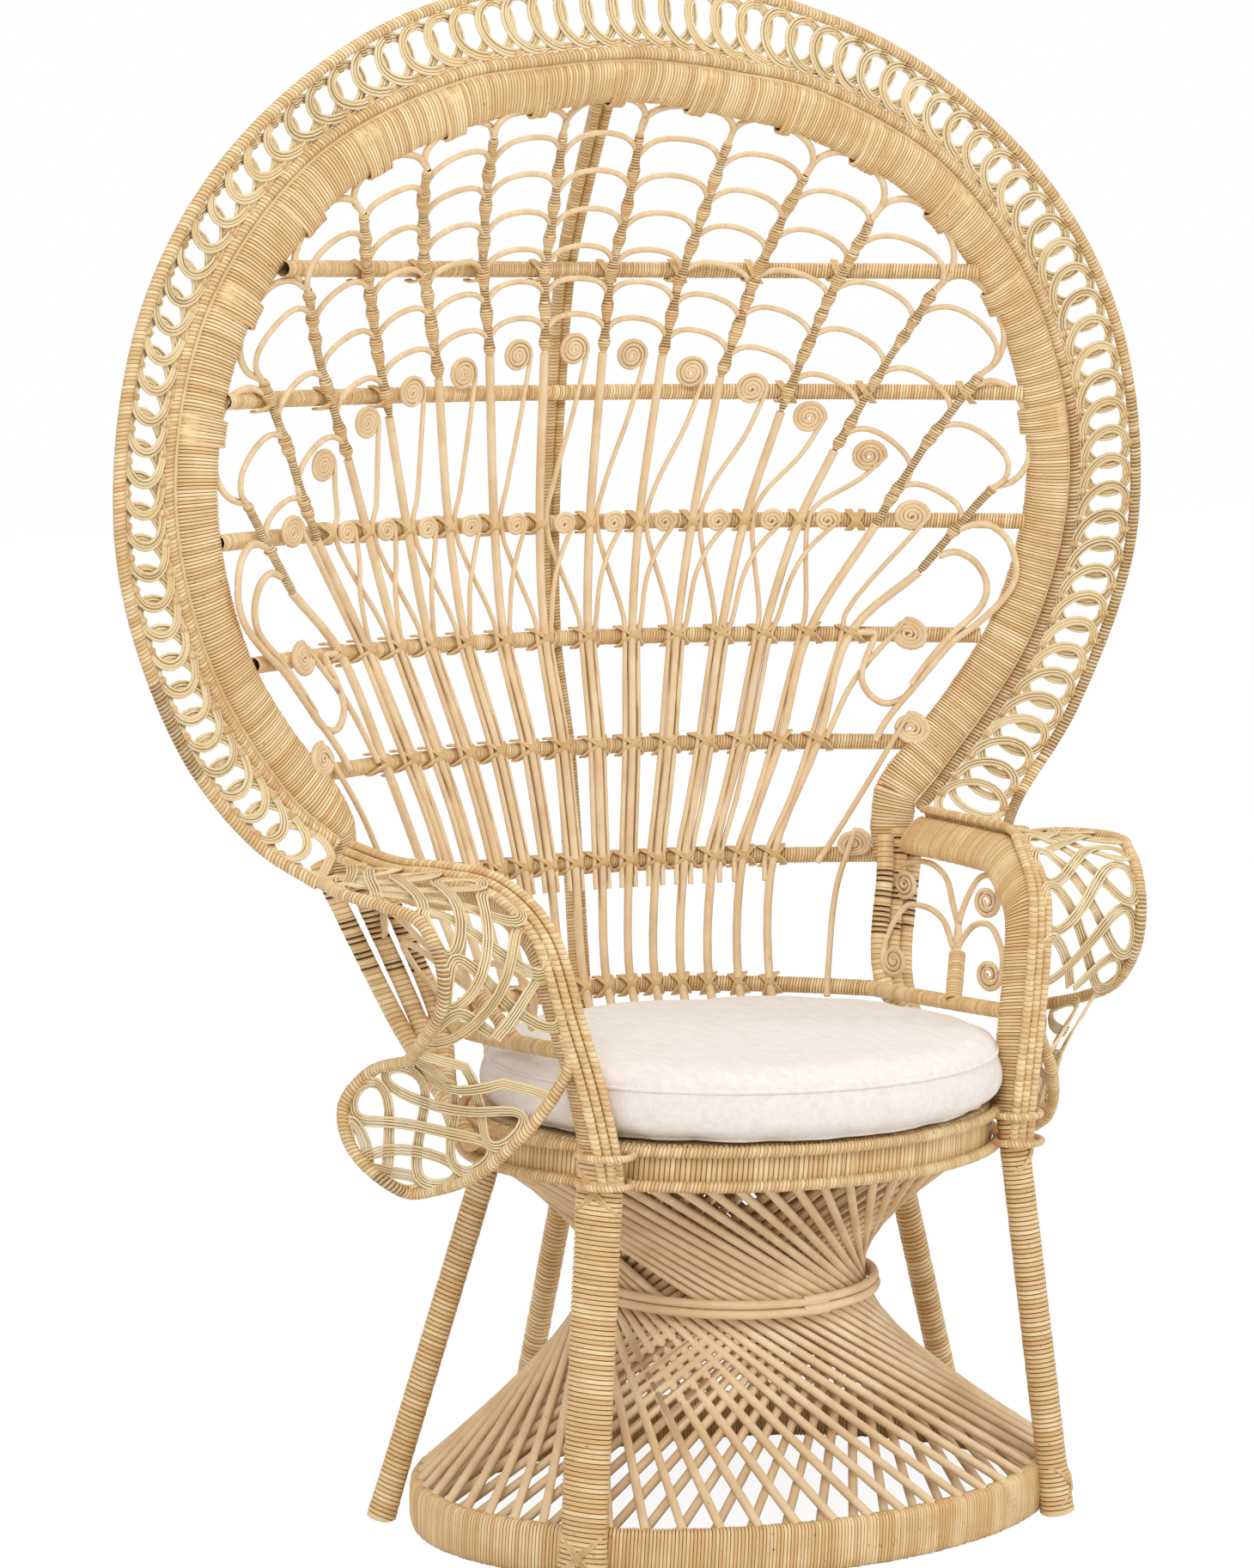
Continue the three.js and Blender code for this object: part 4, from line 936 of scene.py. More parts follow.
@dataclass
class Bowl:
    """The curved surface that the fan lies on."""

    hoop: Hoop
    depth: float = 316.0
    centre_shares: Sequence = (
        (0.25, 0.69), (0.315, 0.769), (0.4, 0.826), (0.479, 0.886), (0.553, 0.984), (0.633, 1),
        (0.723, 0.959), (0.807, 0.892), (0.857, 0.76), (0.921, 0.62),
    )
    edge_width_shares: Sequence = (
        (0.315, 0.462), (0.4, 0.56), (0.428, 0.53), (0.484, 0.622), (0.574, 0.764),
        (0.651, 0.803), (0.749, 0.769), (0.853, 0.576), (0.902, 0.31), (0.921, 0.1),
    )
    edge_depth_shares: Sequence = (
        (0.25, 0.6), (0.315, 0.68), (0.4, 1.25), (0.484, 1.18), (0.574, 1.06), (0.651, 1),
        (0.749, 1), (0.853, 1.04), (0.902, 1.1), (0.921, 1.2),
    )

    def back(self, x: float, z: float) -> float:
        """Returns the bowl's Y at a place."""
        height = z / self.hoop.height
        centre = read_table(self.centre_shares, height) * self.depth
        edge = read_table(self.edge_depth_shares, height) * self.hoop.setting_back
        width = read_table(self.edge_width_shares, height) * self.hoop.half_width
        return edge + (centre - edge) * (1 - min((x / width) ** 2, 1.2))

    def out(self, x: float, z: float) -> Vector:
        """Returns the direction out of the bowl towards the sitter."""
        step = 8.5
        slope_x = (self.back(x + step, z) - self.back(x - step, z)) / (2 * step)
        slope_z = (self.back(x, z + step) - self.back(x, z - step)) / (2 * step)
        return Vector((slope_x, -1, slope_z)).normalized()

    def at(self, x: float, z: float, forward: float) -> Vector:
        """Returns the point a distance in front of the bowl at a place."""
        return Vector((x, self.back(x, z), z)) + self.out(x, z) * forward

    def at_shares(self, wide: float, high: float, forward: float) -> Vector:
        """Returns the point in front of the bowl at shares of the hoop's half width and height."""
        return self.at(wide * self.hoop.half_width, high * self.hoop.height, forward)


@dataclass
class Fan:
    """Rails, spine, scalloped screen, stakes and scrolls of the round back."""

    bowl: Bowl
    rail_radius: float = 8.5
    spine_radius: float = 10.0
    spine_clearance: float = 0.88
    spine_top_share: float = 0.932
    spine_step: float = 4.8
    chain_radius: float = 6.0
    arch_radius: float = 3.0
    stake_radius: float = 4.6
    scroll_radius: float = 2.9
    upper_scroll: float = 19.0
    lower_scroll: float = 15.0
    rail_shares: Sequence = (
        (0.807, 0.665), (0.723, 0.768), (0.633, 0.78), (0.553, 0.705), (0.479, 0.575),
        (0.4, 0.525), (0.3147, 0.455),
    )
    chain_shares: Sequence = (
        ((0.082, 0.903), (0.074, 0.845), (0.06, 0.752)),
        ((0.246, 0.9), (0.207, 0.812), (0.178, 0.75)),
        ((0.388, 0.878), (0.342, 0.808), (0.29, 0.735)),
        ((0.517, 0.846), (0.46, 0.78), (0.402, 0.71)),
        ((0.634, 0.797), (0.572, 0.742), (0.498, 0.683)),
        ((0.725, 0.737), (0.647, 0.688), (0.572, 0.63)),
        ((0.756, 0.658), (0.7, 0.628), (0.64, 0.597)),
    )
    stake_shares: Sequence = (
        (0.052, 0.045, 0.036, 0.028, 0.024),
        (0.15, 0.133, 0.106, 0.083, 0.072),
        (0.252, 0.219, 0.177, 0.138, 0.119),
        (0.348, 0.301, 0.247, 0.193, 0.167),
        (0.445, 0.378, 0.315, 0.248, 0.214),
        (0.54, 0.455, 0.382, 0.303, 0.262),
        (0.6, 0.525, 0.447, 0.358, 0.31),
    )
    arch_row_shares: Sequence = (
        (6, 0.18, 0.96, 0.18, 0.96), (6, 0.18, 0.96, 0.19, 0.98), (6, 0.18, 0.98, 0.15, 0.96),
        (5, 0.18, 0.95, 0.13, 0.9), (4, 0.2, 0.89, 0.04, 0.83), (3, 0.19, 0.95, 0.01, 0.77),
        (2, 0.45, 0.83, 0.01, 0.53),
    )
    last_column_top_share: float = 0.1
    scallop_rise_share: float = 0.44
    bound_rise_share: float = 0.6
    lean: float = 18.0
    lean_start: float = 1050.0
    lean_rise: float = 300.0
    scroll_shares: Sequence = (
        (0, 0.754), (0.117, 0.75), (0.234, 0.738), (0.348, 0.726), (0.452, 0.706), (0.556, 0.679),
        (0.63, 0.636),
    )
    crown: Sequence = (
        (0, 0), (0.0, 0.45), (0.15, 0.84), (0.5, 1), (0.85, 0.84), (1.0, 0.45), (1, 0),
    )
    edge_scallop: Sequence = (
        (0.67, 0.608), (0.697, 0.611), (0.727, 0.604), (0.743, 0.589), (0.735, 0.573),
        (0.679, 0.55), (0.64, 0.532), (0.61, 0.517),
    )
    edge_stake: Sequence = (
        (0.695, 0.626), (0.741, 0.631), (0.773, 0.622), (0.786, 0.607), (0.786, 0.594),
        (0.77, 0.58), (0.72, 0.558), (0.684, 0.547), (0.639, 0.527), (0.56, 0.491), (0.54, 0.478),
    )
    hook: Sequence = (
        (0.535, 0.553), (0.564, 0.552), (0.556, 0.544), (0.544, 0.535), (0.532, 0.521),
        (0.541, 0.51), (0.564, 0.504), (0.595, 0.508), (0.63, 0.524),
    )
    edge_coils: Sequence = (
        ((0.617, 0.552), (0.52, 0.52), (0.46, 0.48)),
        ((0.6, 0.487), (0.52, 0.45), (0.455, 0.41), (0.43, 0.392)),
        ((0.494, 0.41), (0.45, 0.375), (0.405, 0.33), (0.39, 0.308)),
    )
    positions: int = 14
    first_rail: int = 3

    def __post_init__(self) -> None:
        """Works out the layers in front of the rails."""
        self.chains = len(self.chain_shares)
        self.chain_forward = self.rail_radius + self.chain_radius + 0.4
        self.stake_forward = self.rail_radius + self.stake_radius + 0.8
        self.scroll_forward = self.rail_radius + self.scroll_radius + 1.2
        self.apexes: list[Vector] = []

    def rail_height(self, rail: int) -> float:
        """Returns the height of a rail, counted from the top."""
        return self.rail_shares[rail - 1][0] * self.bowl.hoop.height

    def chain_place(self, position: int, share: float) -> tuple[float, float]:
        """Returns x and z at a share of the length of a chain, counted from the left."""
        side, chain = self.side_and_chain(position)
        line = [Vector((wide, 0, high)) for wide, high in self.chain_shares[chain]]
        place = along(line, share)
        height = place.z * self.bowl.hoop.height
        lean = self.lean * (max(height - self.lean_start, 0) / self.lean_rise) ** 2
        return side * place.x * self.bowl.hoop.half_width - lean, height

    def side_and_chain(self, position: int) -> tuple[int, int]:
        """Returns the side and the number from the centre out of a position."""
        if position < self.chains:
            return -1, self.chains - 1 - position
        return 1, position - self.chains

    def stake_x(self, position: int, rail: int) -> float:
        """Returns the x of a main stake at a rail."""
        side, chain = self.side_and_chain(position)
        return side * self.stake_shares[chain][rail - self.first_rail] * self.bowl.hoop.half_width

    def build_rails(self) -> None:
        """Winds the seven cross rails."""
        for rail, (high, wide) in enumerate(self.rail_shares, 1):
            end = wide * self.bowl.hoop.half_width + 12
            height = high * self.bowl.hoop.height
            path = [self.bowl.at(x, height, 0) for x in np.linspace(-end, end, 41)]
            turn = Turn(2 * self.rail_radius, 2 * self.rail_radius, 3.1, 10)
            piece = wind(path, turn, seed=20 + rail)
            hand_over(piece, f"back_rail_{rail}", WOUND_CANE, [f"cross_rail_{rail}"])

    def build_spine(self) -> None:
        """Winds the two poles of the upright behind the rails."""
        behind = -(self.rail_radius + self.spine_clearance + self.spine_radius)
        turn = Turn(19, 10.5, 3.4, 10)
        foot, top = Seat.height + 1, self.spine_top_share * self.bowl.hoop.height
        heights = [foot, *[self.rail_height(r) for r in range(7, 0, -1)], top]
        poles = []
        for side in SIDES:
            line = [self.bowl.at(side * self.spine_step, z, behind) for z in heights]
            poles.append(wind(spline(line, 8), turn, facing_to(Vector((0, 1, 0))), seed=30 + side))
        hand_over(join(poles), "back_upright", WOUND_CANE, ["back_spine"])

    def arch_nodes(self) -> dict[int, set[float]]:
        """Returns where scallops meet each chain, as shares of its length."""
        nodes: dict[int, set[float]] = {p: set() for p in range(self.positions)}
        for left, right, left_share, right_share, _ in self.scallops():
            nodes[left].add(round(left_share, 3))
            nodes[right].add(round(right_share, 3))
        return nodes

    def scallops(self) -> list[tuple[int, int, float, float, int]]:
        """Lists the scallops as left and right chain, their shares there, and the row."""
        found = []
        for position in range(1, self.positions):
            column = abs(position - self.chains)
            first = self.last_column_top_share if column == self.chains - 1 else 0.0
            ends = (0, first) if position <= self.chains else (first, 0)
            found.append((position - 1, position, *ends, -1))
            rows, inner_start, inner_end, outer_start, outer_end = self.arch_row_shares[column]
            for row in range(rows):
                inner = mix(inner_start, inner_end, row / (rows - 1))
                outer = mix(outer_start, outer_end, row / (rows - 1))
                pair = (outer, inner) if position <= self.chains else (inner, outer)
                found.append((position - 1, position, *pair, row))
        return found

    def scallop_path(self, start: tuple[float, float], end: tuple[float, float]) -> Path:
        """Bends a scallop between two places on neighbouring chains."""
        dx, dz = end[0] - start[0], end[1] - start[1]
        line = []
        for share, rise in self.crown:
            x = mix(start[0], end[0], share) - dz * rise * self.scallop_rise_share
            z = mix(start[1], end[1], share) + abs(dx) * rise * self.scallop_rise_share
            line.append(self.bowl.at(x, z, self.chain_forward))
        return spline(line, 4)

    def bound_scallop(self, start: tuple[float, float], end: tuple[float, float]) -> Path:
        """Bends a scallop whose crown is bound into the band round the hoop."""
        dx, dz = end[0] - start[0], end[1] - start[1]
        ends = [self.bowl.at(*place, self.chain_forward) for place in (start, end)]
        middle = (ends[0] + ends[1]) / 2
        aim = middle + Vector((-dz, 0, abs(dx))) * self.bound_rise_share
        line = self.bowl.hoop.band_line()
        i = min(range(len(line)), key=lambda j: (line[j] - aim).length)
        apex = line[i] + self.bowl.hoop.across(i) * (self.bowl.hoop.band_width / 2 - 3)
        self.apexes.append(line[i])
        path = [ends[0].lerp(ends[1], share) + (apex - middle) * rise for share, rise in self.crown]
        return spline(path, 4)

    def chain_swell(self, marks: Sequence[float]) -> Callable[[float], float]:
        """Returns the swelling that thickens a chain where scallops are tied in."""
        waist, knot, reach, tip, taper = 0.74, 0.42, 0.035, 0.55, 12

        def swell(share: float) -> float:
            """Returns the thickness factor at a share of the chain's length."""
            nearest = min(abs(share - mark) for mark in marks)
            waisted = waist + knot * math.exp(-((nearest / reach) ** 2))
            return waisted * min(1.0, tip + taper * min(share, 1 - share))

        return swell

    def build_screen(self) -> None:
        """Builds the scalloped screen: wound chains and the bent rods between them."""
        nodes = self.arch_nodes()
        chains = []
        for position in range(self.positions):
            marks = sorted(nodes[position])
            line = [
                self.bowl.at(*self.chain_place(position, k / 12), self.chain_forward)
                for k in range(13)
            ]
            swell = self.chain_swell(marks)
            turn = Turn(2 * self.chain_radius, 2 * self.chain_radius, 3.0)
            chains.append(wind(line, turn, swell=swell, seed=40 + position))
        hand_over(join(chains), "scallop_chains", WOUND_CANE)
        rods = []
        for left, right, left_share, right_share, row in self.scallops():
            bend = self.bound_scallop if row < 0 else self.scallop_path
            path = bend(self.chain_place(left, left_share), self.chain_place(right, right_share))
            rods.append(Rod(path, self.arch_radius + (0.5 if row < 0 else 0)))
        hand_over(bend_rods(rods), "scallops", PEELED_ROD, ["scallop_screen"])
        self.bowl.hoop.build_bindings(self.apexes)

    def build_edge_rods(self) -> None:
        """Builds the last scallops, the hooks and the scrolls between the fan and the band."""
        rods = []
        hoop = self.bowl.hoop
        for side in SIDES:
            for shares, forward in (
                (self.edge_scallop, self.chain_forward),
                (self.edge_stake, self.chain_forward),
                (self.hook, self.stake_forward),
            ):
                line = [self.bowl.at_shares(side * x, z, forward) for x, z in shares]
                rods.append(Rod(spline(line, 5), 3.6))
            for (wide, high), *stem in self.edge_coils:
                forward = self.scroll_forward
                x, z = side * wide * hoop.half_width, high * hoop.height
                coil = self.coil(x, z, self.upper_scroll, forward, math.pi / 2, -side)
                line = [self.bowl.at_shares(side * a, b, forward) for a, b in stem]
                rods.append(self.scroll_rod(coil, line, 6, radius=3.4))
        hand_over(bend_rods(rods), "edge_scrolls", PEELED_ROD)

    def coil(
        self, x: float, z: float, radius: float, forward: float, start: float = 0.0, turn: int = 1
    ) -> Path:
        """Curls a rod end inwards round a scroll, from an angle and in a turning direction."""
        pitch, core, steps_a_turn = 4.1, 1.4, 18
        outer = radius - self.scroll_radius
        steps = round((outer - core) / pitch * steps_a_turn)
        path = []
        for i in range(steps + 1):
            angle = start + turn * 2 * math.pi * i / steps_a_turn
            distance = mix(outer, core, i / steps)
            across, up = distance * math.cos(angle), distance * math.sin(angle)
            path.append(self.bowl.at(x + across, z + up, forward))
        return path

    def scroll_rod(
        self, coil: Path, stem: Path, steps: int, tip: float = 2.1, radius: float | None = None
    ) -> Rod:
        """Joins a coil to the stem it grows from, as one rod that thins to the coil's core."""
        line = [*coil[::-1], *spline([coil[0], *stem], steps)[1:]]
        return Rod(line, tip, radius or self.scroll_radius)

    def scroll_place(self, position: int) -> tuple[float, float]:
        """Returns the middle of the upper scroll left of a position."""
        column = position - self.chains
        wide, high = self.scroll_shares[min(abs(column), len(self.scroll_shares) - 1)]
        x = math.copysign(wide * self.bowl.hoop.half_width, column)
        return x, high * self.bowl.hoop.height

    def beside(self, position: int, rail: float, offset: float, forward: float) -> Vector:
        """Returns a point beside a main stake, at a rail or between two."""
        upper, lower = math.floor(rail), math.ceil(rail)
        share = rail - upper
        x = mix(self.stake_x(position, upper), self.stake_x(position, lower), share)
        z = mix(self.rail_height(upper), self.rail_height(lower), share)
        return self.bowl.at(x + offset, z, forward)

    def build_stake(self, position: int) -> None:
        """Builds a main stake with the scrolled rods that are lashed to its sides."""
        foot_x, foot_z = self.chain_place(position, 1)
        line = [self.bowl.at(foot_x, foot_z, self.stake_forward)]
        for rail in range(self.first_rail, 8):
            if self.rail_height(rail) < foot_z - 2 * self.rail_radius:
                line.append(self.beside(position, rail, 0, self.stake_forward))
        line.append(self.stake_foot(position))
        rods = [Rod(spline(line, 5), self.stake_radius)]
        side = self.stake_radius + self.scroll_radius + 0.2
        forward = self.scroll_forward
        tail_rails = (4, 4.5, 5, 5.5, 6, 6.22)
        if position:
            x, z = self.scroll_place(position)
            coil = self.coil(x, z, self.upper_scroll, forward)
            stem = []
            if z > self.rail_height(3) + self.upper_scroll:
                gate = self.beside(position - 1, 3, side + 1, forward)
                right = Vector((x + self.upper_scroll - self.scroll_radius, 0, z))
                bend_x = mix(right.x, gate.x, 0.3)
                bend_z = mix(right.z, gate.z, 0.35)
                stem.append(self.bowl.at(bend_x, bend_z, forward))
                low_x, low_z = mix(right.x, gate.x, 0.82), mix(right.z, gate.z, 0.75)
                stem.append(self.bowl.at(low_x, low_z, forward))
                stem.append(gate)
            stem.append(self.beside(position, 3.82, -side - 3, forward))
            stem += [self.beside(position, rail, -side, forward) for rail in tail_rails]
            rods.append(self.scroll_rod(coil, stem, 5))
        if 0 < position < self.positions - 2:
            x = (self.stake_x(position, 3) + self.stake_x(position + 1, 3)) / 2
            z = self.rail_height(3)
            over = forward + 2 * self.scroll_radius
            coil = self.coil(x, z, self.lower_scroll, forward)
            lower = self.beside(position, 3.5, 0, over)
            stem = [
                self.bowl.at(mix(x + 8, lower.x + side, 0.5), mix(z, lower.z, 0.5), over),
                self.bowl.at(mix(x, lower.x + side, 0.8), lower.z, over),
                self.beside(position, 3.85, side + 2, forward),
            ]
            stem += [self.beside(position, rail, side, forward) for rail in tail_rails]
            rods.append(self.scroll_rod(coil, stem, 5, tip=2.0))
        name = f"fan_stake_{position + 1}"
        hand_over(bend_rods(rods), name, PEELED_ROD, [f"back_stake_{position + 1}"])

    def stake_foot(self, position: int) -> Vector:
        """Returns where a main stake meets the rear of the seat ring."""
        x = 0.94 * self.stake_x(position, 7)
        half_width, half_depth = Seat.band_half_width, Seat.band_half_depth
        y = Seat.centre_y + half_depth * math.sqrt(1 - (x / half_width) ** 2)
        return Vector((x, y, Seat.height))

    def build_lashings(self) -> None:
        """Ties stakes and chains to the rails with crossed canes."""
        canes: list[Rod] = []
        for rail in range(self.first_rail, 8):
            height = self.rail_height(rail)
            for position in range(self.positions):
                if rail == self.first_rail and position in (0, self.positions - 1):
                    continue
                x = self.stake_x(position, rail)
                canes += self.lashing_at(x, height, 10 if 4 <= rail <= 6 else 5)
        for rail in (1, 2):
            height = self.rail_height(rail)
            for position in range(self.positions):
                (_, top), (_, low) = self.chain_place(position, 0), self.chain_place(position, 1)
                if low < height < top:
                    x, _ = self.chain_place(position, (top - height) / (top - low))
                    canes += self.lashing_at(x, height, self.chain_radius)
        hand_over(bend_rods(canes, 1), "rail_lashings", TIE_CANE)

    def lashing_at(self, x: float, z: float, half: float) -> list[Rod]:
        """Ties one crossing of the fan."""
        out = self.bowl.out(x, z)
        right = Vector((1, 0, 0))
        right = (right - out * right.dot(out)).normalized()
        up = right.cross(out) * -1
        if up.z < 0:
            up = -up
        depth, reach = self.rail_radius + 2 * self.stake_radius, self.rail_radius + 2
        return cross_lashing(self.bowl.at(x, z, 0), right, up, out, half, depth, reach)

    def build(self) -> None:
        """Builds the whole fan."""
        self.build_rails()
        self.build_spine()
        self.build_screen()
        self.build_edge_rods()
        for position in range(self.positions):
            self.build_stake(position)
        self.build_lashings()


# Seat, skirt and legs


def ring_point(
    half_width: float, half_depth: float, centre_y: float, z: float, angle: float
) -> Vector:
    """Returns a point of an oval ring; angle 0 is the front and a quarter turn the right side."""
    return Vector((half_width * math.sin(angle), centre_y - half_depth * math.cos(angle), z))


def beside_ring(
    half_width: float, half_depth: float, centre_y: float, z: float, angle: float, distance: float
) -> Vector:
    """Returns a point outside an oval ring, square to its curve."""
    outward = Vector((math.sin(angle) / half_width, -math.cos(angle) / half_depth, 0)).normalized()
    return ring_point(half_width, half_depth, centre_y, z, angle) + outward * distance


def wound_ring(
    half_width: float, half_depth: float, centre_y: float, z: float, turn: Turn, seed: int
) -> bpy.types.Object:
    """Winds an oval ring whose wide axis looks outwards."""
    count = 120
    path = [
        ring_point(half_width, half_depth, centre_y, z, 2 * math.pi * i / count)
        for i in range(count)
    ]
    return wind(path, turn, lambda i: path[i] - Vector((0, centre_y, z)), True, seed=seed)


@dataclass
class Seat:
    """Seat ring with its beads, and the deck of split rods inside it."""

    half_width: float = 279.0
    half_depth: float = 244.0
    centre_y: float = -49.0
    height: float = 405.0
    apron_height: float = 44.0
    apron_thickness: float = 12.0
    bead_radius: float = 5.5
    band_half_width: float = 261.65
    band_half_depth: float = 226.65
    deck_clearance: float = 0.8
    deck_radius: float = 3.1
    deck_drop: float = 0.3
    bearer_radius: float = 2.2
    bearers: Sequence = (-120.0, 0.0, 120.0)

    def build(self) -> None:
        """Builds the apron, its beads and the deck."""
        middle = self.height - self.apron_height / 2
        apron = wound_ring(
            self.band_half_width, self.band_half_depth, self.centre_y, middle,
            Turn(self.apron_thickness, self.apron_height, 4.8, 16, 0.55, 0.8), 50,
        )
        hand_over(apron, "seat_apron", WOUND_CANE, ["seat_ring"])
        for name, z in (
            ("top", self.height - self.bead_radius),
            ("bottom", self.height - self.apron_height + self.bead_radius),
        ):
            bead = wound_ring(
                self.half_width - self.bead_radius, self.half_depth - self.bead_radius,
                self.centre_y, z, Turn(11, 11, 3.6), 51,
            )
            hand_over(bead, f"{name}_seat_bead", WOUND_CANE, [f"seat_{name}_bead"])
        hand_over(self.deck(), "deck_rods", PEELED_ROD, ["seat_deck"])

    def deck(self) -> bpy.types.Object:
        """Lays split rods side by side inside the ring, on three bearers."""
        rods = []
        inset = self.apron_thickness / 2 + self.deck_clearance
        half_width, half_depth = self.band_half_width - inset, self.band_half_depth - inset
        radius = self.deck_radius
        count = int(half_depth / (2 * radius))
        for k in range(-count, count + 1):
            y = k * 2 * radius
            reach = half_width * math.sqrt(max(1 - (y / half_depth) ** 2, 0.01)) - radius
            z = self.height - radius - self.deck_drop
            ends = [Vector((side * reach, self.centre_y + y, z)) for side in SIDES]
            rods.append(Rod(ends, radius))
        for x in self.bearers:
            reach = half_depth * math.sqrt(1 - (x / half_width) ** 2) - radius
            z = self.height - 2 * radius - self.bearer_radius
            ends = [Vector((x, self.centre_y + side * reach, z)) for side in SIDES]
            rods.append(Rod(ends, self.bearer_radius))
        return bend_rods(rods, 1)


@dataclass
class Cushion:
    """The loose round cushion: canvas cover over a soft filling, with piped seams."""

    half_width: float = 262.0
    half_depth: float = 236.0
    centre_y: float = -70.0
    side: float = 55.0
    crown: float = 17.0
    draw_in: float = 8.0
    clearance: float = 0.35
    voxel: float = 6.0
    cap: float = 9.0
    slack: float = 6.0
    pressure: float = 4.0
    frames: int = 20
    seam_steps: int = 120
    piping_radius: float = 2.1

    def blank(self) -> bpy.types.Object:
        """Models the sewn cover before it is filled: a drum with a domed top."""
        bottom = Seat.height + self.clearance + 2.0
        middle = to_frame([Vector((0, self.centre_y, bottom + self.side / 2))])[0]
        deselect_all()
        bpy.ops.mesh.primitive_cylinder_add(
            vertices=96, radius=1, depth=(self.side - 4) * MM, location=middle
        )
        blank = bpy.context.object
        blank.scale = ((self.half_width - self.slack) * MM, (self.half_depth - self.slack) * MM, 1)
        bpy.ops.object.transform_apply(location=True, rotation=True, scale=True)
        for face in blank.data.polygons:
            face.select = len(face.vertices) > 4 and face.center.z > middle.z
        bpy.ops.object.mode_set(mode="EDIT")
        bpy.ops.mesh.select_mode(type="FACE")
        for inset, lift in ((30, 11), (45, 5), (60, 2)):
            bpy.ops.mesh.inset(thickness=inset * MM, depth=0)
            bpy.ops.transform.translate(value=(0, 0, lift * MM))
        bpy.ops.object.mode_set(mode="OBJECT")
        return blank

    def fill(self, cushion: bpy.types.Object) -> None:
        """Blows the cover up with cloth simulation and caps how far its points move."""
        before = np.empty(len(cushion.data.vertices) * 3)
        cushion.data.vertices.foreach_get("co", before)
        cloth = cushion.modifiers.new("filling", "CLOTH")
        cloth.settings.use_pressure = True
        cloth.settings.uniform_pressure_force = self.pressure
        cloth.settings.quality = 5
        cloth.settings.effector_weights.gravity = 0.0
        cloth.settings.tension_stiffness = 18
        cloth.settings.bending_stiffness = 1.2
        scene = bpy.context.scene
        for step in range(1, self.frames + 1):
            scene.frame_set(step)
        apply_modifiers(cushion)
        scene.frame_set(1)
        after = np.empty_like(before)
        cushion.data.vertices.foreach_get("co", after)
        before, after = before.reshape(-1, 3), after.reshape(-1, 3)
        move = after - before
        far = np.linalg.norm(move, axis=1, keepdims=True)
        move *= np.minimum(1, self.cap * MM / np.maximum(far, 1e-9))
        cushion.data.vertices.foreach_set("co", (before + move).ravel())

    def shape(self, cushion: bpy.types.Object) -> None:
        """Draws the sides in between the seams, dimples the cover and rests it on the deck."""
        points = np.empty(len(cushion.data.vertices) * 3)
        cushion.data.vertices.foreach_get("co", points)
        points = points.reshape(-1, 3)
        middle = to_frame([Vector((0, self.centre_y, Seat.height + self.clearance))])[0]
        size = np.array([self.half_width, self.half_depth, (self.side + self.crown) / 2]) * MM
        low, high = points.min(axis=0), points.max(axis=0)
        points = (points - (low + high) / 2) / ((high - low) / 2) * size
        points += np.array([middle.x, middle.y, middle.z + size[2]])
        x = (points[:, 0] - middle.x) / (self.half_width * MM)
        y = (points[:, 1] - middle.y) / (self.half_depth * MM)
        distance = np.hypot(x, y)
        angle = np.arctan2(y, x)
        level = np.clip((points[:, 2] - middle.z) / (self.side * MM), 0, 1)
        edge = np.clip((distance - 0.8) / 0.2, 0, 1)
        draw = self.draw_in * MM * (1 - np.sin(math.pi * np.clip(level, 0.08, 0.92))) * edge
        fold, folds, wander = 0.0011, 23, 1.3
        wave = np.sin(folds * angle + wander * np.sin(5 * angle))
        gathers = fold * wave * np.sin(math.pi * level) * edge
        scale = 1 - (draw + gathers) / (self.half_width * MM)
        points[:, 0] = middle.x + (points[:, 0] - middle.x) * scale
        points[:, 1] = middle.y + (points[:, 1] - middle.y) * scale
        top = np.clip((points[:, 2] - middle.z) / (self.side * MM) - 0.9, 0, 1)
        soft = 0.0016 * np.sin(4.1 * x + 1.7 * np.sin(3 * y)) * np.cos(3.3 * y + 0.8)
        points[:, 2] += np.where(top > 0, soft, 0)
        highest = (self.side + self.crown) * MM
        above = points[:, 2] - middle.z
        points[:, 2] = middle.z + np.clip(above, 0.0002, highest + 0.002)
        cushion.data.vertices.foreach_set("co", points.ravel())

    def seam(self, cushion: bpy.types.Object, level: float) -> Path:
        """Follows the cover's edge at a height, for the piping."""
        mesh = bmesh.new()
        mesh.from_mesh(cushion.data)
        tree = BVHTree.FromBMesh(mesh)
        centre = to_frame([Vector((0, self.centre_y, Seat.height + level))])[0]
        shift = Vector((0, SHIFT, 0))
        path = []
        for i in range(self.seam_steps + 1):
            angle = 2 * math.pi * (i % self.seam_steps) / self.seam_steps
            outward = Vector((math.sin(angle), -math.cos(angle), 0))
            hit, _, _, _ = tree.ray_cast(centre + outward * 0.5, -outward)
            if hit is not None:
                path.append(hit / MM - shift + outward * 0.2)
        mesh.free()
        return path

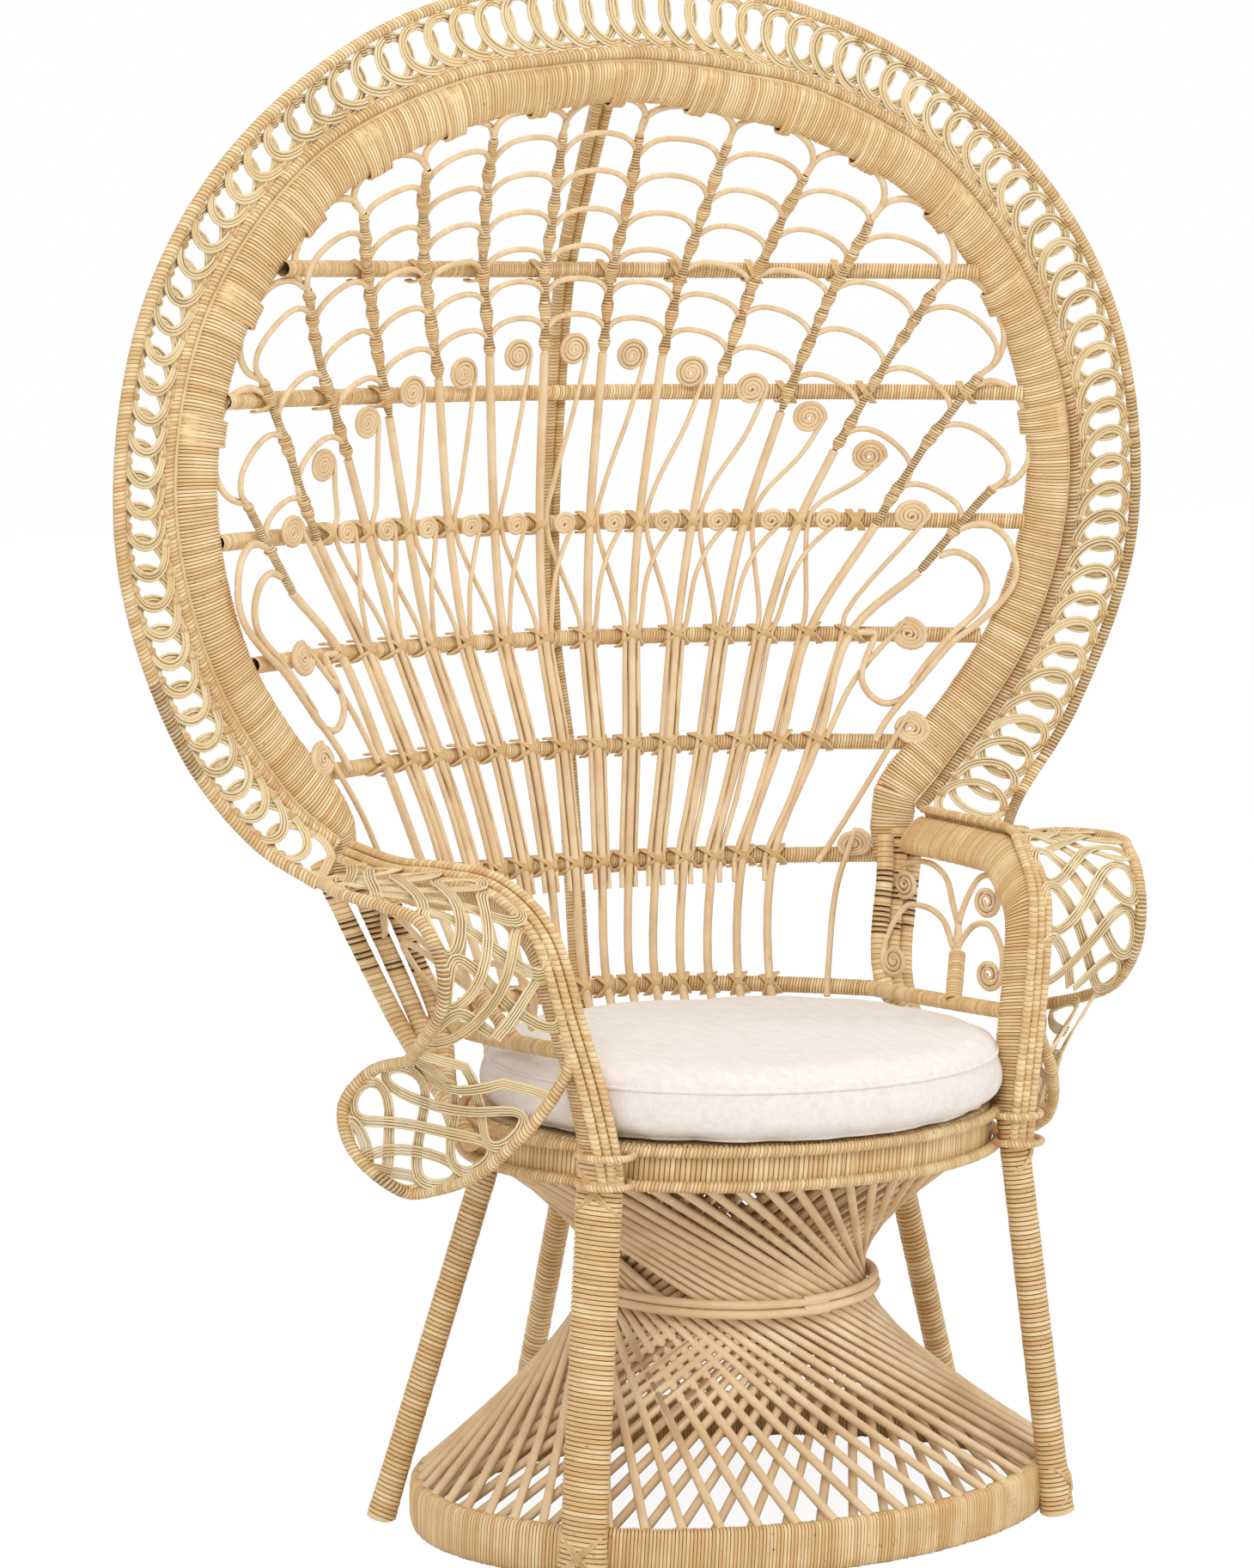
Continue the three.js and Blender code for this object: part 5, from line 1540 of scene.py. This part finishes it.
    def build(self) -> None:
        """Builds the cushion and its piping."""
        cushion = self.blank()
        remesh = cushion.modifiers.new("cover", "REMESH")
        remesh.mode = "VOXEL"
        remesh.voxel_size = self.voxel * MM
        apply_modifiers(cushion)
        self.fill(cushion)
        smooth = cushion.modifiers.new("relax", "SMOOTH")
        smooth.factor = 0.5
        smooth.iterations = 6
        apply_modifiers(cushion)
        self.shape(cushion)
        finer = cushion.modifiers.new("finer", "SUBSURF")
        finer.levels = finer.render_levels = 1
        apply_modifiers(cushion)
        levels = (5.5, self.side - 2.5)
        piping = [Rod(self.seam(cushion, level), self.piping_radius) for level in levels]
        hand_over(cushion, "canvas_cushion", CANVAS, ["seat_cushion"], CUSHION_BODY)
        hand_over(bend_rods(piping), "cushion_piping", CANVAS, (), CUSHION_BODY)


@dataclass
class Skirt:
    """The waisted skirt of crossing stakes on the base ring, with the hoops at its waist."""

    stakes: int = 54
    radius: float = 4.5
    twist: float = 1.12
    waist_radius: float = 134.0
    inner_step: float = 11.0
    waist_y: float = -44.0
    waist_z: float = 226.0
    hoop_radius: float = 4.5
    leg_room: float = 5.0

    def line(self, angle: float, level: int, layer: int) -> Path:
        """Returns a stake's end at the waist and its end on a ring; the inner layer twists back."""
        step = self.inner_step * layer
        twist = self.twist * (-1 if layer else 1)
        radius = self.waist_radius - step
        middle = ring_point(radius, radius, self.waist_y, self.waist_z, angle)
        if level > 0:
            end = ring_point(
                Seat.band_half_width - step, Seat.band_half_depth - step, Seat.centre_y,
                Seat.height - 34, angle - twist,
            )
        else:
            inset = Base.thickness / 2 + 1.3 * step
            end = ring_point(
                Base.half_width - inset, Base.half_depth - inset, Base.centre_y,
                Base.height - 2 - step, angle + twist,
            )
        return [middle, end]

    def near_leg(self, line: Path, legs: Sequence[Path]) -> bool:
        """Tells whether a stake would run into a side leg."""
        clear = Legs.side_radius + self.radius + self.leg_room
        for a, b in legs:
            for k in range(41):
                p = line[0].lerp(line[1], k / 40)
                share = min(max((p - a).dot(b - a) / (b - a).length_squared, 0), 1)
                if (p - a.lerp(b, share)).length < clear:
                    return True
        return False

    def build(self, legs: Sequence[Path]) -> None:
        """Builds the stakes, the hoops and the base ring."""
        rods = []
        for layer in (0, 1):
            for i in range(self.stakes):
                angle = 2 * math.pi * (i + 0.5) / self.stakes
                for level in (1, -1):
                    line = self.line(angle, level, layer)
                    if not self.near_leg(line, legs):
                        start = line[0].lerp(self.line(angle, -level, layer)[1], 0.02)
                        rods.append(Rod(spline([start, *line], 4), self.radius))
        hand_over(bend_rods(rods), "skirt_rods", PEELED_ROD, ["skirt_stakes"])
        for name, level, spread in (("upper", 1, 2.8), ("lower", -1, 4.7)):
            ring = self.waist_radius + self.radius + self.hoop_radius + spread
            z = self.waist_z + level * self.hoop_radius
            count, ripple = 96, 1.2
            path = [
                ring_point(
                    ring, ring, self.waist_y, z + ripple * math.sin(i / 9), 2 * math.pi * i / count
                )
                for i in range(count + 4)
            ]
            piece = bend_rods([Rod(path, self.hoop_radius)])
            hand_over(piece, f"{name}_waist_hoop", PEELED_ROD, [f"waist_hoop_{name}"])
        ring = wound_ring(
            Base.half_width - Base.thickness / 2, Base.half_depth - Base.thickness / 2,
            Base.centre_y, Base.height / 2, Turn(Base.thickness, Base.height, 3.4, 16, 0.55), 60,
        )
        hand_over(ring, "wound_base_ring", WOUND_CANE, ["base_ring"])


@dataclass
class Legs:
    """Five wound legs with crossed lashings at the feet and corners."""

    front_width: float = 40.0
    front_thickness: float = 29.0
    foot_flare: float = 1.15
    front_top: float = 396.0
    front_seat_angle: float = 0.89
    front_base_angle: float = 0.84
    side_seat_angle: float = 1.95
    side_base_angle: float = 1.99
    side_radius: float = 13.5
    rear_radius: float = 13.0
    rear_foot_back: float = 388.0
    clearance: float = 2.1
    set_back: float = 12.0
    corner_pole: Sequence = (230, -221)
    tie_half_sizes: Sequence = (26, 23)
    tie_heights: Sequence = (398.0, 371.0)

    def front_line(self, side: int) -> Path:
        """Returns the front leg's foot and top."""
        offset = self.front_thickness / 2 + self.clearance
        top = beside_ring(
            Seat.half_width, Seat.half_depth, Seat.centre_y, self.front_top,
            side * self.front_seat_angle, offset,
        )
        base = beside_ring(
            Base.half_width, Base.half_depth, Base.centre_y, Base.height,
            side * self.front_base_angle, offset,
        )
        back = Vector((0, self.set_back, 0))
        return [base.lerp(top, -Base.height / (top.z - Base.height)) + back, top + back]

    def side_line(self, side: int) -> Path:
        """Returns the side leg's foot and top."""
        base = beside_ring(
            Base.half_width, Base.half_depth, Base.centre_y, Base.height,
            side * self.side_base_angle, self.side_radius + 1.05,
        )
        top = beside_ring(
            Seat.band_half_width, Seat.band_half_depth, Seat.centre_y, Seat.height - 9.35,
            side * self.side_seat_angle, -(6 + self.side_radius + 9),
        )
        return [base.lerp(top, -Base.height / (top.z - Base.height)), top]

    def outward(self, side: int) -> Vector:
        """Returns the direction out of the seat ring at a front leg."""
        across = side * math.sin(self.front_seat_angle) / Seat.half_width
        return Vector((across, -math.cos(self.front_seat_angle) / Seat.half_depth, 0)).normalized()

    def build_front_leg(self, side: int) -> None:
        """Winds a front leg, which flares at its foot."""
        leg = wind(
            straight(*self.front_line(side)),
            Turn(self.front_thickness + 1, self.front_width + 5, 4.6, 14),
            facing_to(self.outward(side)),
            swell=lambda share: mix(self.foot_flare, 1.0, min(share * 8, 1)),
            seed=70 + side,
        )
        name = SIDE_NAMES[side]
        hand_over(leg, f"{name}_fore_leg", WOUND_CANE, [f"{name}_front_leg"])

    def build_corner_ties(self, side: int) -> None:
        """Winds the two rings that bind the arm's poles to a front leg."""
        foot, top = self.front_line(side)
        outward = self.outward(side)
        right = Vector((-outward.y, outward.x, 0))
        pole_x, pole_y = self.corner_pole
        along_right, along_out = self.tie_half_sizes
        rings = []
        for z in self.tie_heights:
            leg = foot.lerp(top, (z - foot.z) / (top.z - foot.z))
            middle = (leg + Vector((side * pole_x, pole_y, z))) / 2
            angles = [k * math.pi / 18 for k in range(36)]
            ring = [
                middle + right * (along_right * math.cos(a)) + outward * (along_out * math.sin(a))
                for a in angles
            ]
            rings.append(wind(ring, Turn(7, 7, 3.4), closed=True, seed=78 + side))
        hand_over(join(rings), f"{SIDE_NAMES[side]}_corner_ties", WOUND_CANE)

    def build_side_leg(self, side: int) -> None:
        """Winds a side leg, a little thicker at its foot."""
        leg = wind(
            straight(*self.side_line(side)),
            Turn(2 * self.side_radius, 2 * self.side_radius, 4.6, 12),
            swell=lambda share: 1.0 + 0.08 * math.exp(-(share * 9) ** 2),
            seed=72 + side,
        )
        name = SIDE_NAMES[side]
        hand_over(leg, f"{name}_rear_side_leg", WOUND_CANE, [f"{name}_side_leg"])

    def lashings(self, side: int) -> list[Rod]:
        """Ties a front leg to the base ring and to the seat ring."""
        foot, top = self.front_line(side)
        outward = self.outward(side)
        right = Vector((-outward.y, outward.x, 0))
        canes = []
        for share, reach in ((0.07, 20), (0.92, 22)):
            canes += cross_lashing(
                foot.lerp(top, share), right, (top - foot).normalized(), outward,
                self.front_width / 2 - 4, self.front_thickness / 2 + 1, reach,
            )
        return canes

    def build_rear_leg(self, fan: Fan) -> None:
        """Winds the rear leg, which meets the foot of the fan's upright."""
        behind = -(fan.rail_radius + fan.spine_clearance + fan.spine_radius)
        top = fan.bowl.at(0, Seat.height, behind)
        turn = Turn(2 * self.rear_radius, 2 * self.rear_radius, 4.6, 12)
        leg = wind(straight(Vector((0, self.rear_foot_back, 0)), top), turn, seed=77)
        hand_over(leg, "rear_wound_leg", WOUND_CANE, ["rear_leg"])

    def build(self, fan: Fan) -> None:
        """Winds the legs and ties the front ones at foot and corner."""
        canes: list[Rod] = []
        for side in SIDES:
            self.build_front_leg(side)
            self.build_corner_ties(side)
            self.build_side_leg(side)
            canes += self.lashings(side)
        self.build_rear_leg(fan)
        hand_over(bend_rods(canes, 1), "leg_lashings", TIE_CANE)


# Arms and wings


@dataclass
class Arm:
    """One arm: bundled poles, wide band, side rail, scroll tree and the struts behind it."""

    side: int
    half_width: float = 342.0
    height: float = 650.0
    reach: float = 204.0
    inside_height: float = 540.0
    pole_radius: float = 4.6
    band_width: float = 44.0
    band_thickness: float = 22.0
    clearance: float = 0.7
    rail_radius: float = 8.0
    strut_radius: float = 9.0
    arm_shares: Sequence = (
        (0.985, -0.6, 1), (1, 0, 0.997), (0.95, 0.3, 1), (0.87, 0.58, 0.99), (0.81, 0.86, 0.93),
        (0.755, 0.98, 0.8), (0.71, 1.04, 0.7), (0.672, 1.08, 0.59), (0.668, 1.085, 0.56),
    )
    rail_shares: Sequence = (
        (0.719, -0.412, 0.735), (0.734, -0.098, 0.738), (0.731, 0.618, 0.75), (0.728, 0.76, 0.753),
    )
    panel_rear: Sequence = (0.877, -0.735, 0.951)
    strut_shares: Sequence = (
        ((0.982, -0.73, 0.925), (0.857, -0.466, 0.74)),
        ((0.906, -0.672, 0.92), (0.804, -0.42, 0.74)),
        ((0.836, -0.608, 0.915), (0.751, -0.377, 0.74)),
    )
    strut_angles: Sequence = (1.63, 1.58, 1.53)
    strut_extension: float = 0.28
    tree_radius: float = 3.6
    tree_tip_radius: float = 1.8
    pole_foot: float = 370.0
    band_foot: float = 388.0
    coil_reach: float = 15.4
    coil_core: float = 2.2
    coil_turns: float = 2.6
    coil_steps: int = 64
    trees: Sequence = (
        (
            ((0.46, 0.5), (0.372, 0.68), (0.28, 0.896), (0.164, 0.972), (0.06, 0.93)),
            (0.092, 0.78), 1,
        ),
        (
            ((0.432, 0.42), (0.34, 0.562), (0.23, 0.63), (0.12, 0.6), (0.058, 0.4)),
            (0.12, 0.18), 1,
        ),
        (
            ((0.45, 0.5), (0.43, 0.74), (0.45, 0.93), (0.53, 0.985), (0.63, 0.93)),
            (0.588, 0.78), -1,
        ),
        (
            ((0.5, 0.36), (0.54, 0.54), (0.63, 0.61), (0.77, 0.62), (0.88, 0.5)),
            (0.828, 0.25), -1,
        ),
    )

    def place(self, wide: float, reach: float, high: float) -> Vector:
        """Returns a place given as shares of the arm's sizes."""
        return Vector((self.side * wide * self.half_width, -reach * self.reach, high * self.height))

    def __post_init__(self) -> None:
        """Draws the arm's guide line and the direction of its inside."""
        self.line = evenly(spline([self.place(*s) for s in self.arm_shares], 16), 8.0)
        inside = Vector((self.side * 0.72 * self.half_width, 0, self.inside_height))
        self.inward = []
        for p, tangent in zip(self.line, tangents(self.line)):
            towards = inside - p
            self.inward.append((towards - tangent * towards.dot(tangent)).normalized())

    def row(self, offset: float, step: float) -> Path:
        """Returns a line inside the arm's guide line and beside it."""
        return [
            p + self.inward[i] * offset + t.cross(self.inward[i]) * step
            for i, (p, t) in enumerate(zip(self.line, tangents(self.line)))
        ]

    def cut(self, path: Path, level: float) -> Path:
        """Ends a path at a height."""
        kept = [p for p in path if p.z > level]
        if len(kept) < len(path):
            last, beyond = kept[-1], path[len(kept)]
            kept.append(last.lerp(beyond, (last.z - level) / (last.z - beyond.z)))
        return kept

    def build(self) -> None:
        """Builds the arm."""
        name = SIDE_NAMES[self.side]
        poles = []
        for k in (-1, 0, 1):
            path = self.cut(self.row(0, 2.05 * k * self.pole_radius), self.pole_foot)
            poles.append(wind(path, Turn(9.2, 9.2, 5.2, 8, 1.0, 0.95, 0.1), seed=80 + k))
        hand_over(join(poles), f"{name}_arm_pole_bundle", WOUND_CANE, [f"{name}_arm_poles"])
        middle = self.pole_radius + self.clearance + self.band_width / 2
        path = self.cut(self.row(middle, 0), self.band_foot)
        band = wind(
            path, Turn(self.band_width, self.band_thickness, 3.3, 16, 0.8),
            lambda i: self.inward[i], seed=84,
        )
        hand_over(band, f"{name}_wound_arm_band", WOUND_CANE, [f"{name}_arm_band"])
        self.rail = spline([self.place(*s) for s in self.rail_shares], 10)
        rail = wind(self.rail, Turn(16, 16, 3.3, 10), seed=85)
        hand_over(rail, f"{name}_wound_side_rail", WOUND_CANE, [f"{name}_side_rail"])
        self.build_struts(name)
        self.build_scrolls(name)

    def build_struts(self, name: str) -> None:
        """Winds the three struts that run from the waist of the hoop round the seat."""
        outside = self.strut_radius + 3.2
        above = Seat.height + outside
        below = Seat.height - 18
        struts = []
        for k, (shares, angle) in enumerate(zip(self.strut_shares, self.strut_angles)):
            line = [self.place(*s) for s in shares]
            line.insert(0, line[0].lerp(line[1], -self.strut_extension))
            for turn, z in ((0.2, above), (0, below)):
                line.append(
                    beside_ring(
                        Seat.half_width, Seat.half_depth, Seat.centre_y, z,
                        self.side * (angle + turn), outside,
                    )
                )
            turn = Turn(2 * self.strut_radius, 2 * self.strut_radius, 5.6, 16, 1.0, 0.975)
            struts.append(wind(spline(line, 10), turn, seed=88 + k))
        hand_over(join(struts), f"{name}_wound_struts", WOUND_CANE, [f"{name}_struts"])

    def panel(self, along_share: float, up_share: float) -> Vector:
        """Returns a place in the panel between the side rail and the band."""
        low = along(self.rail, along_share) + Vector((0, 0, self.rail_radius))
        middle = self.pole_radius + self.clearance + self.band_width / 2
        band_line = self.row(middle, 0)
        top_line = [self.place(*self.panel_rear), *band_line[: int(len(band_line) * 0.62)]]
        high = along(top_line, along_share) - Vector((0, 0, self.band_width / 2))
        return low.lerp(high, up_share)

    def scroll(self, centre: Vector, forward: Vector, turn: int) -> Path:
        """Winds a flat coil inward from its side, downwards first."""
        coil = []
        first = math.pi if turn > 0 else 0.0
        for i in range(self.coil_steps):
            angle = first + turn * 2 * math.pi * self.coil_turns * i / self.coil_steps
            distance = mix(self.coil_reach, self.coil_core, i / (self.coil_steps - 1))
            coil.append(
                centre + forward * (distance * math.cos(angle))
                + Vector((0, 0, distance * math.sin(angle)))
            )
        return coil

    def build_scrolls(self, name: str) -> None:
        """Builds the scroll tree: four rods from one bound stem, each ending in a coil."""
        rods = []
        forward = Vector((self.side * 0.3, -0.954, 0)).normalized()
        for arch, coil, turn in self.trees:
            centre = self.panel(*coil)
            spiral = self.scroll(centre, forward, turn)
            offset = 0.008 * turn
            stem = [self.panel(0.6 - offset, 0.04), self.panel(0.52 - offset, 0.3)]
            line = spline([*stem, *[self.panel(*a) for a in arch], spiral[0], spiral[2]], 6)
            rods.append(Rod([*line[:-1], *spiral[3:]], self.tree_radius, self.tree_tip_radius))
        hand_over(bend_rods(rods), f"{name}_scroll_tree", PEELED_ROD, [f"{name}_arm_scrolls"])
        stem = [self.panel(0.625, -0.04), self.panel(0.515, 0.33)]
        binding = wind(stem, Turn(17, 13, 3.4, 10), seed=93)
        hand_over(binding, f"{name}_scroll_binding", WOUND_CANE)


@dataclass
class Wing:
    """One wing: the rim that rounds the arm, and the two woven lace lobes inside it."""

    side: int
    arm: Arm
    half_width: float = 441.0
    swing: float = 0.34
    margin: float = 4.0
    lift: float = 2.6
    strands: int = 4
    strand_radius: float = 1.35
    strand_spacing: float = 2.95
    wing_shares: Sequence = (
        (0.893, -0.284, 0.969), (0.952, 0.05, 0.986), (0.998, 0.377, 0.986), (0.952, 0.613, 0.975),
        (0.907, 0.809, 0.958), (0.884, 0.922, 0.906), (0.875, 0.912, 0.843), (0.882, 0.716, 0.778),
        (0.857, 0.51, 0.748), (0.821, 0.333, 0.731), (0.859, 0.093, 0.705), (0.905, 0.015, 0.657),
        (0.914, 0.074, 0.614), (0.896, 0.162, 0.578), (0.848, 0.25, 0.545), (0.798, 0.25, 0.529),
        (0.766, 0.343, 0.537), (0.73, 0.623, 0.572), (0.687, 0.819, 0.626), (0.646, 0.917, 0.672),
        (0.61, 0.95, 0.712), (0.592, 0.985, 0.745), (0.604, 0.965, 0.79),
    )

    def __post_init__(self) -> None:
        """Draws the rim's guide line."""
        out, forward, up = self.side * self.half_width, -self.arm.reach, self.arm.height
        points = [
            Vector((out * wide, forward * reach, up * high))
            for wide, reach, high in self.wing_shares
        ]
        self.line = evenly(spline(points, 8), 8.0)

    def part(self, path: Path, start: float, end: float) -> Path:
        """Returns a stretch of a path between two shares of its length."""
        step = 1 if end > start else -1
        return [along(path, start + step * abs(end - start) * k / 40) for k in range(41)]

    def weave(self, first: Path, second: Path, periods: float, phase: float) -> tuple[Path, Path]:
        """Runs a strand to and fro between two edges, in loops at both.

        Returns:
            The strand's path and the surface's normal at each point.
        """
        steps, look = int(periods * 40), 0.02
        path, normals = [], []
        for i in range(steps + 1):
            turn = periods * i / steps
            angle = 2 * math.pi * (turn + phase)
            share = (turn - self.swing * math.sin(2 * angle)) / periods
            share = min(max(share, 0.0), 1.0)
            a, b = along(first, share), along(second, share)
            across = b - a
            after, before = min(share + look, 1), max(share - look, 0)
            ahead = along(first, after) - along(first, before)
            ahead += along(second, after) - along(second, before)
            normal = across.cross(ahead).normalized()
            reach = max(across.length / 2 - self.margin, 3.0)
            middle = (a + b) / 2
            path.append(
                middle + across.normalized() * (reach * math.cos(angle))
                + normal * (self.lift * math.sin(3 * angle))
            )
            normals.append(normal)
        return path, normals

    def build(self) -> None:
        """Builds the rim and the lace of both lobes."""
        name = SIDE_NAMES[self.side]
        rim = wind(self.line, POLE_TURN, seed=95)
        hand_over(rim, f"{name}_wound_wing_rim", WOUND_CANE, [f"{name}_wing_rim"])
        upper = (self.part(self.arm.line, 0.1, 0.72), self.part(self.line, 0.04, 0.415))
        lower = (self.part(self.line, 0.93, 0.69), self.part(self.line, 0.42, 0.65))
        for lobe, edges, periods in (("upper", upper, 3.25), ("lower", lower, 2.25)):
            rods = []
            for phase in (0.0, 0.5):
                path, normals = self.weave(*edges, periods, phase)
                rows = strand_row(path, normals.__getitem__, self.strands, self.strand_spacing)
                rods += [Rod(row, self.strand_radius) for row in rows]
            piece = bend_rods(rods, 1)
            hand_over(piece, f"{name}_{lobe}_lace", LACE_CORE, [f"{name}_{lobe}_wing_lace"])


# Studio


def build_camera() -> None:
    """Places the camera where the photograph was taken from."""
    eye = to_frame([Vector((-2223.1, -3845.6, 1223.4))])[0]
    forward = Vector((0.4816, 0.8689, -0.1145)).normalized()
    right = Vector((0.8749, -0.4843, 0.0052))
    right = (right - forward * right.dot(forward)).normalized()
    up = right.cross(forward)
    camera = bpy.data.cameras.new("camera")
    camera.sensor_width = 36
    camera.lens = 103.99
    camera.clip_end = 100
    holder = bpy.data.objects.new("camera", camera)
    bpy.context.scene.collection.objects.link(holder)
    holder.matrix_world = Matrix((
        (right.x, up.x, -forward.x, eye.x),
        (right.y, up.y, -forward.y, eye.y),
        (right.z, up.z, -forward.z, eye.z),
        (0, 0, 0, 1),
    ))
    bpy.context.scene.camera = holder


def backdrop_material() -> bpy.types.Material:
    """Makes a pale matt floor that the camera sees as near white, with the chair's shadow."""
    material = bpy.data.materials.new("painted_floor")
    material.use_nodes = True
    tree = material.node_tree
    tree.nodes.clear()
    paint = add_node(
        tree, "ShaderNodeBsdfDiffuse", {"Color": linear("#f4f3f1"), "Roughness": 1.0}
    ).outputs["BSDF"]
    glow = add_node(
        tree, "ShaderNodeEmission", {"Color": linear("#ffffff"), "Strength": 1.12}
    ).outputs["Emission"]
    seen = add_node(tree, "ShaderNodeLightPath").outputs["Is Camera Ray"]
    part = add_node(tree, "ShaderNodeMath", {1: 0.8}, {0: seen}, operation="MULTIPLY")
    mixed = add_node(tree, "ShaderNodeMixShader", {}, {0: part.outputs["Value"], 1: paint, 2: glow})
    add_node(tree, "ShaderNodeOutputMaterial", {}, {"Surface": mixed.outputs["Shader"]})
    return material


def build_studio() -> None:
    """Builds the floor, the pale world and three soft lamps."""
    deselect_all()
    bpy.ops.mesh.primitive_plane_add(size=30, location=(0, 0, 0))
    floor = bpy.context.object
    floor.name = "studio_floor"
    floor.data.materials.append(backdrop_material())
    world = bpy.data.worlds.new("studio")
    bpy.context.scene.world = world
    world.use_nodes = True
    tree = world.node_tree
    tree.nodes.clear()
    seen = add_node(tree, "ShaderNodeLightPath").outputs["Is Camera Ray"]
    strength = add_node(
        tree, "ShaderNodeMapRange", {"To Min": 0.62, "To Max": 1.0}, {"Value": seen}
    )
    light = add_node(
        tree, "ShaderNodeBackground", {"Color": linear("#ffffff")},
        {"Strength": strength.outputs["Result"]},
    )
    add_node(tree, "ShaderNodeOutputWorld", {}, {"Surface": light.outputs["Background"]})
    for name, place, power, size in (
        ("key", (-2.6, -3.4, 3.6), 95, 2.2),
        ("fill", (3.4, -2.6, 2.2), 45, 2.6),
        ("top", (0.3, 0.9, 4.2), 40, 2.4),
    ):
        deselect_all()
        bpy.ops.object.light_add(type="AREA", location=place)
        lamp = bpy.context.object
        lamp.name = f"{name}_lamp"
        lamp.data.energy = power
        lamp.data.size = size
        aim = Vector((0, 0, 0.75)) - Vector(place)
        lamp.rotation_euler = aim.to_track_quat("-Z", "Y").to_euler()


def main() -> None:
    """Builds every sub-assembly in order."""
    logging.basicConfig(level=logging.INFO, format="%(message)s")
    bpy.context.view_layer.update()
    bpy.context.scene.view_settings.view_transform = "Standard"
    build_camera()
    hoop = Hoop()
    hoop.build()
    fan = Fan(Bowl(hoop))
    fan.build()
    Seat().build()
    legs = Legs()
    Skirt().build([legs.side_line(side) for side in SIDES])
    legs.build(fan)
    for side in SIDES:
        arm = Arm(side)
        arm.build()
        Wing(side, arm).build()
    Cushion().build()
    build_studio()
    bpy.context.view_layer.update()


if __name__ == "__main__":
    main()
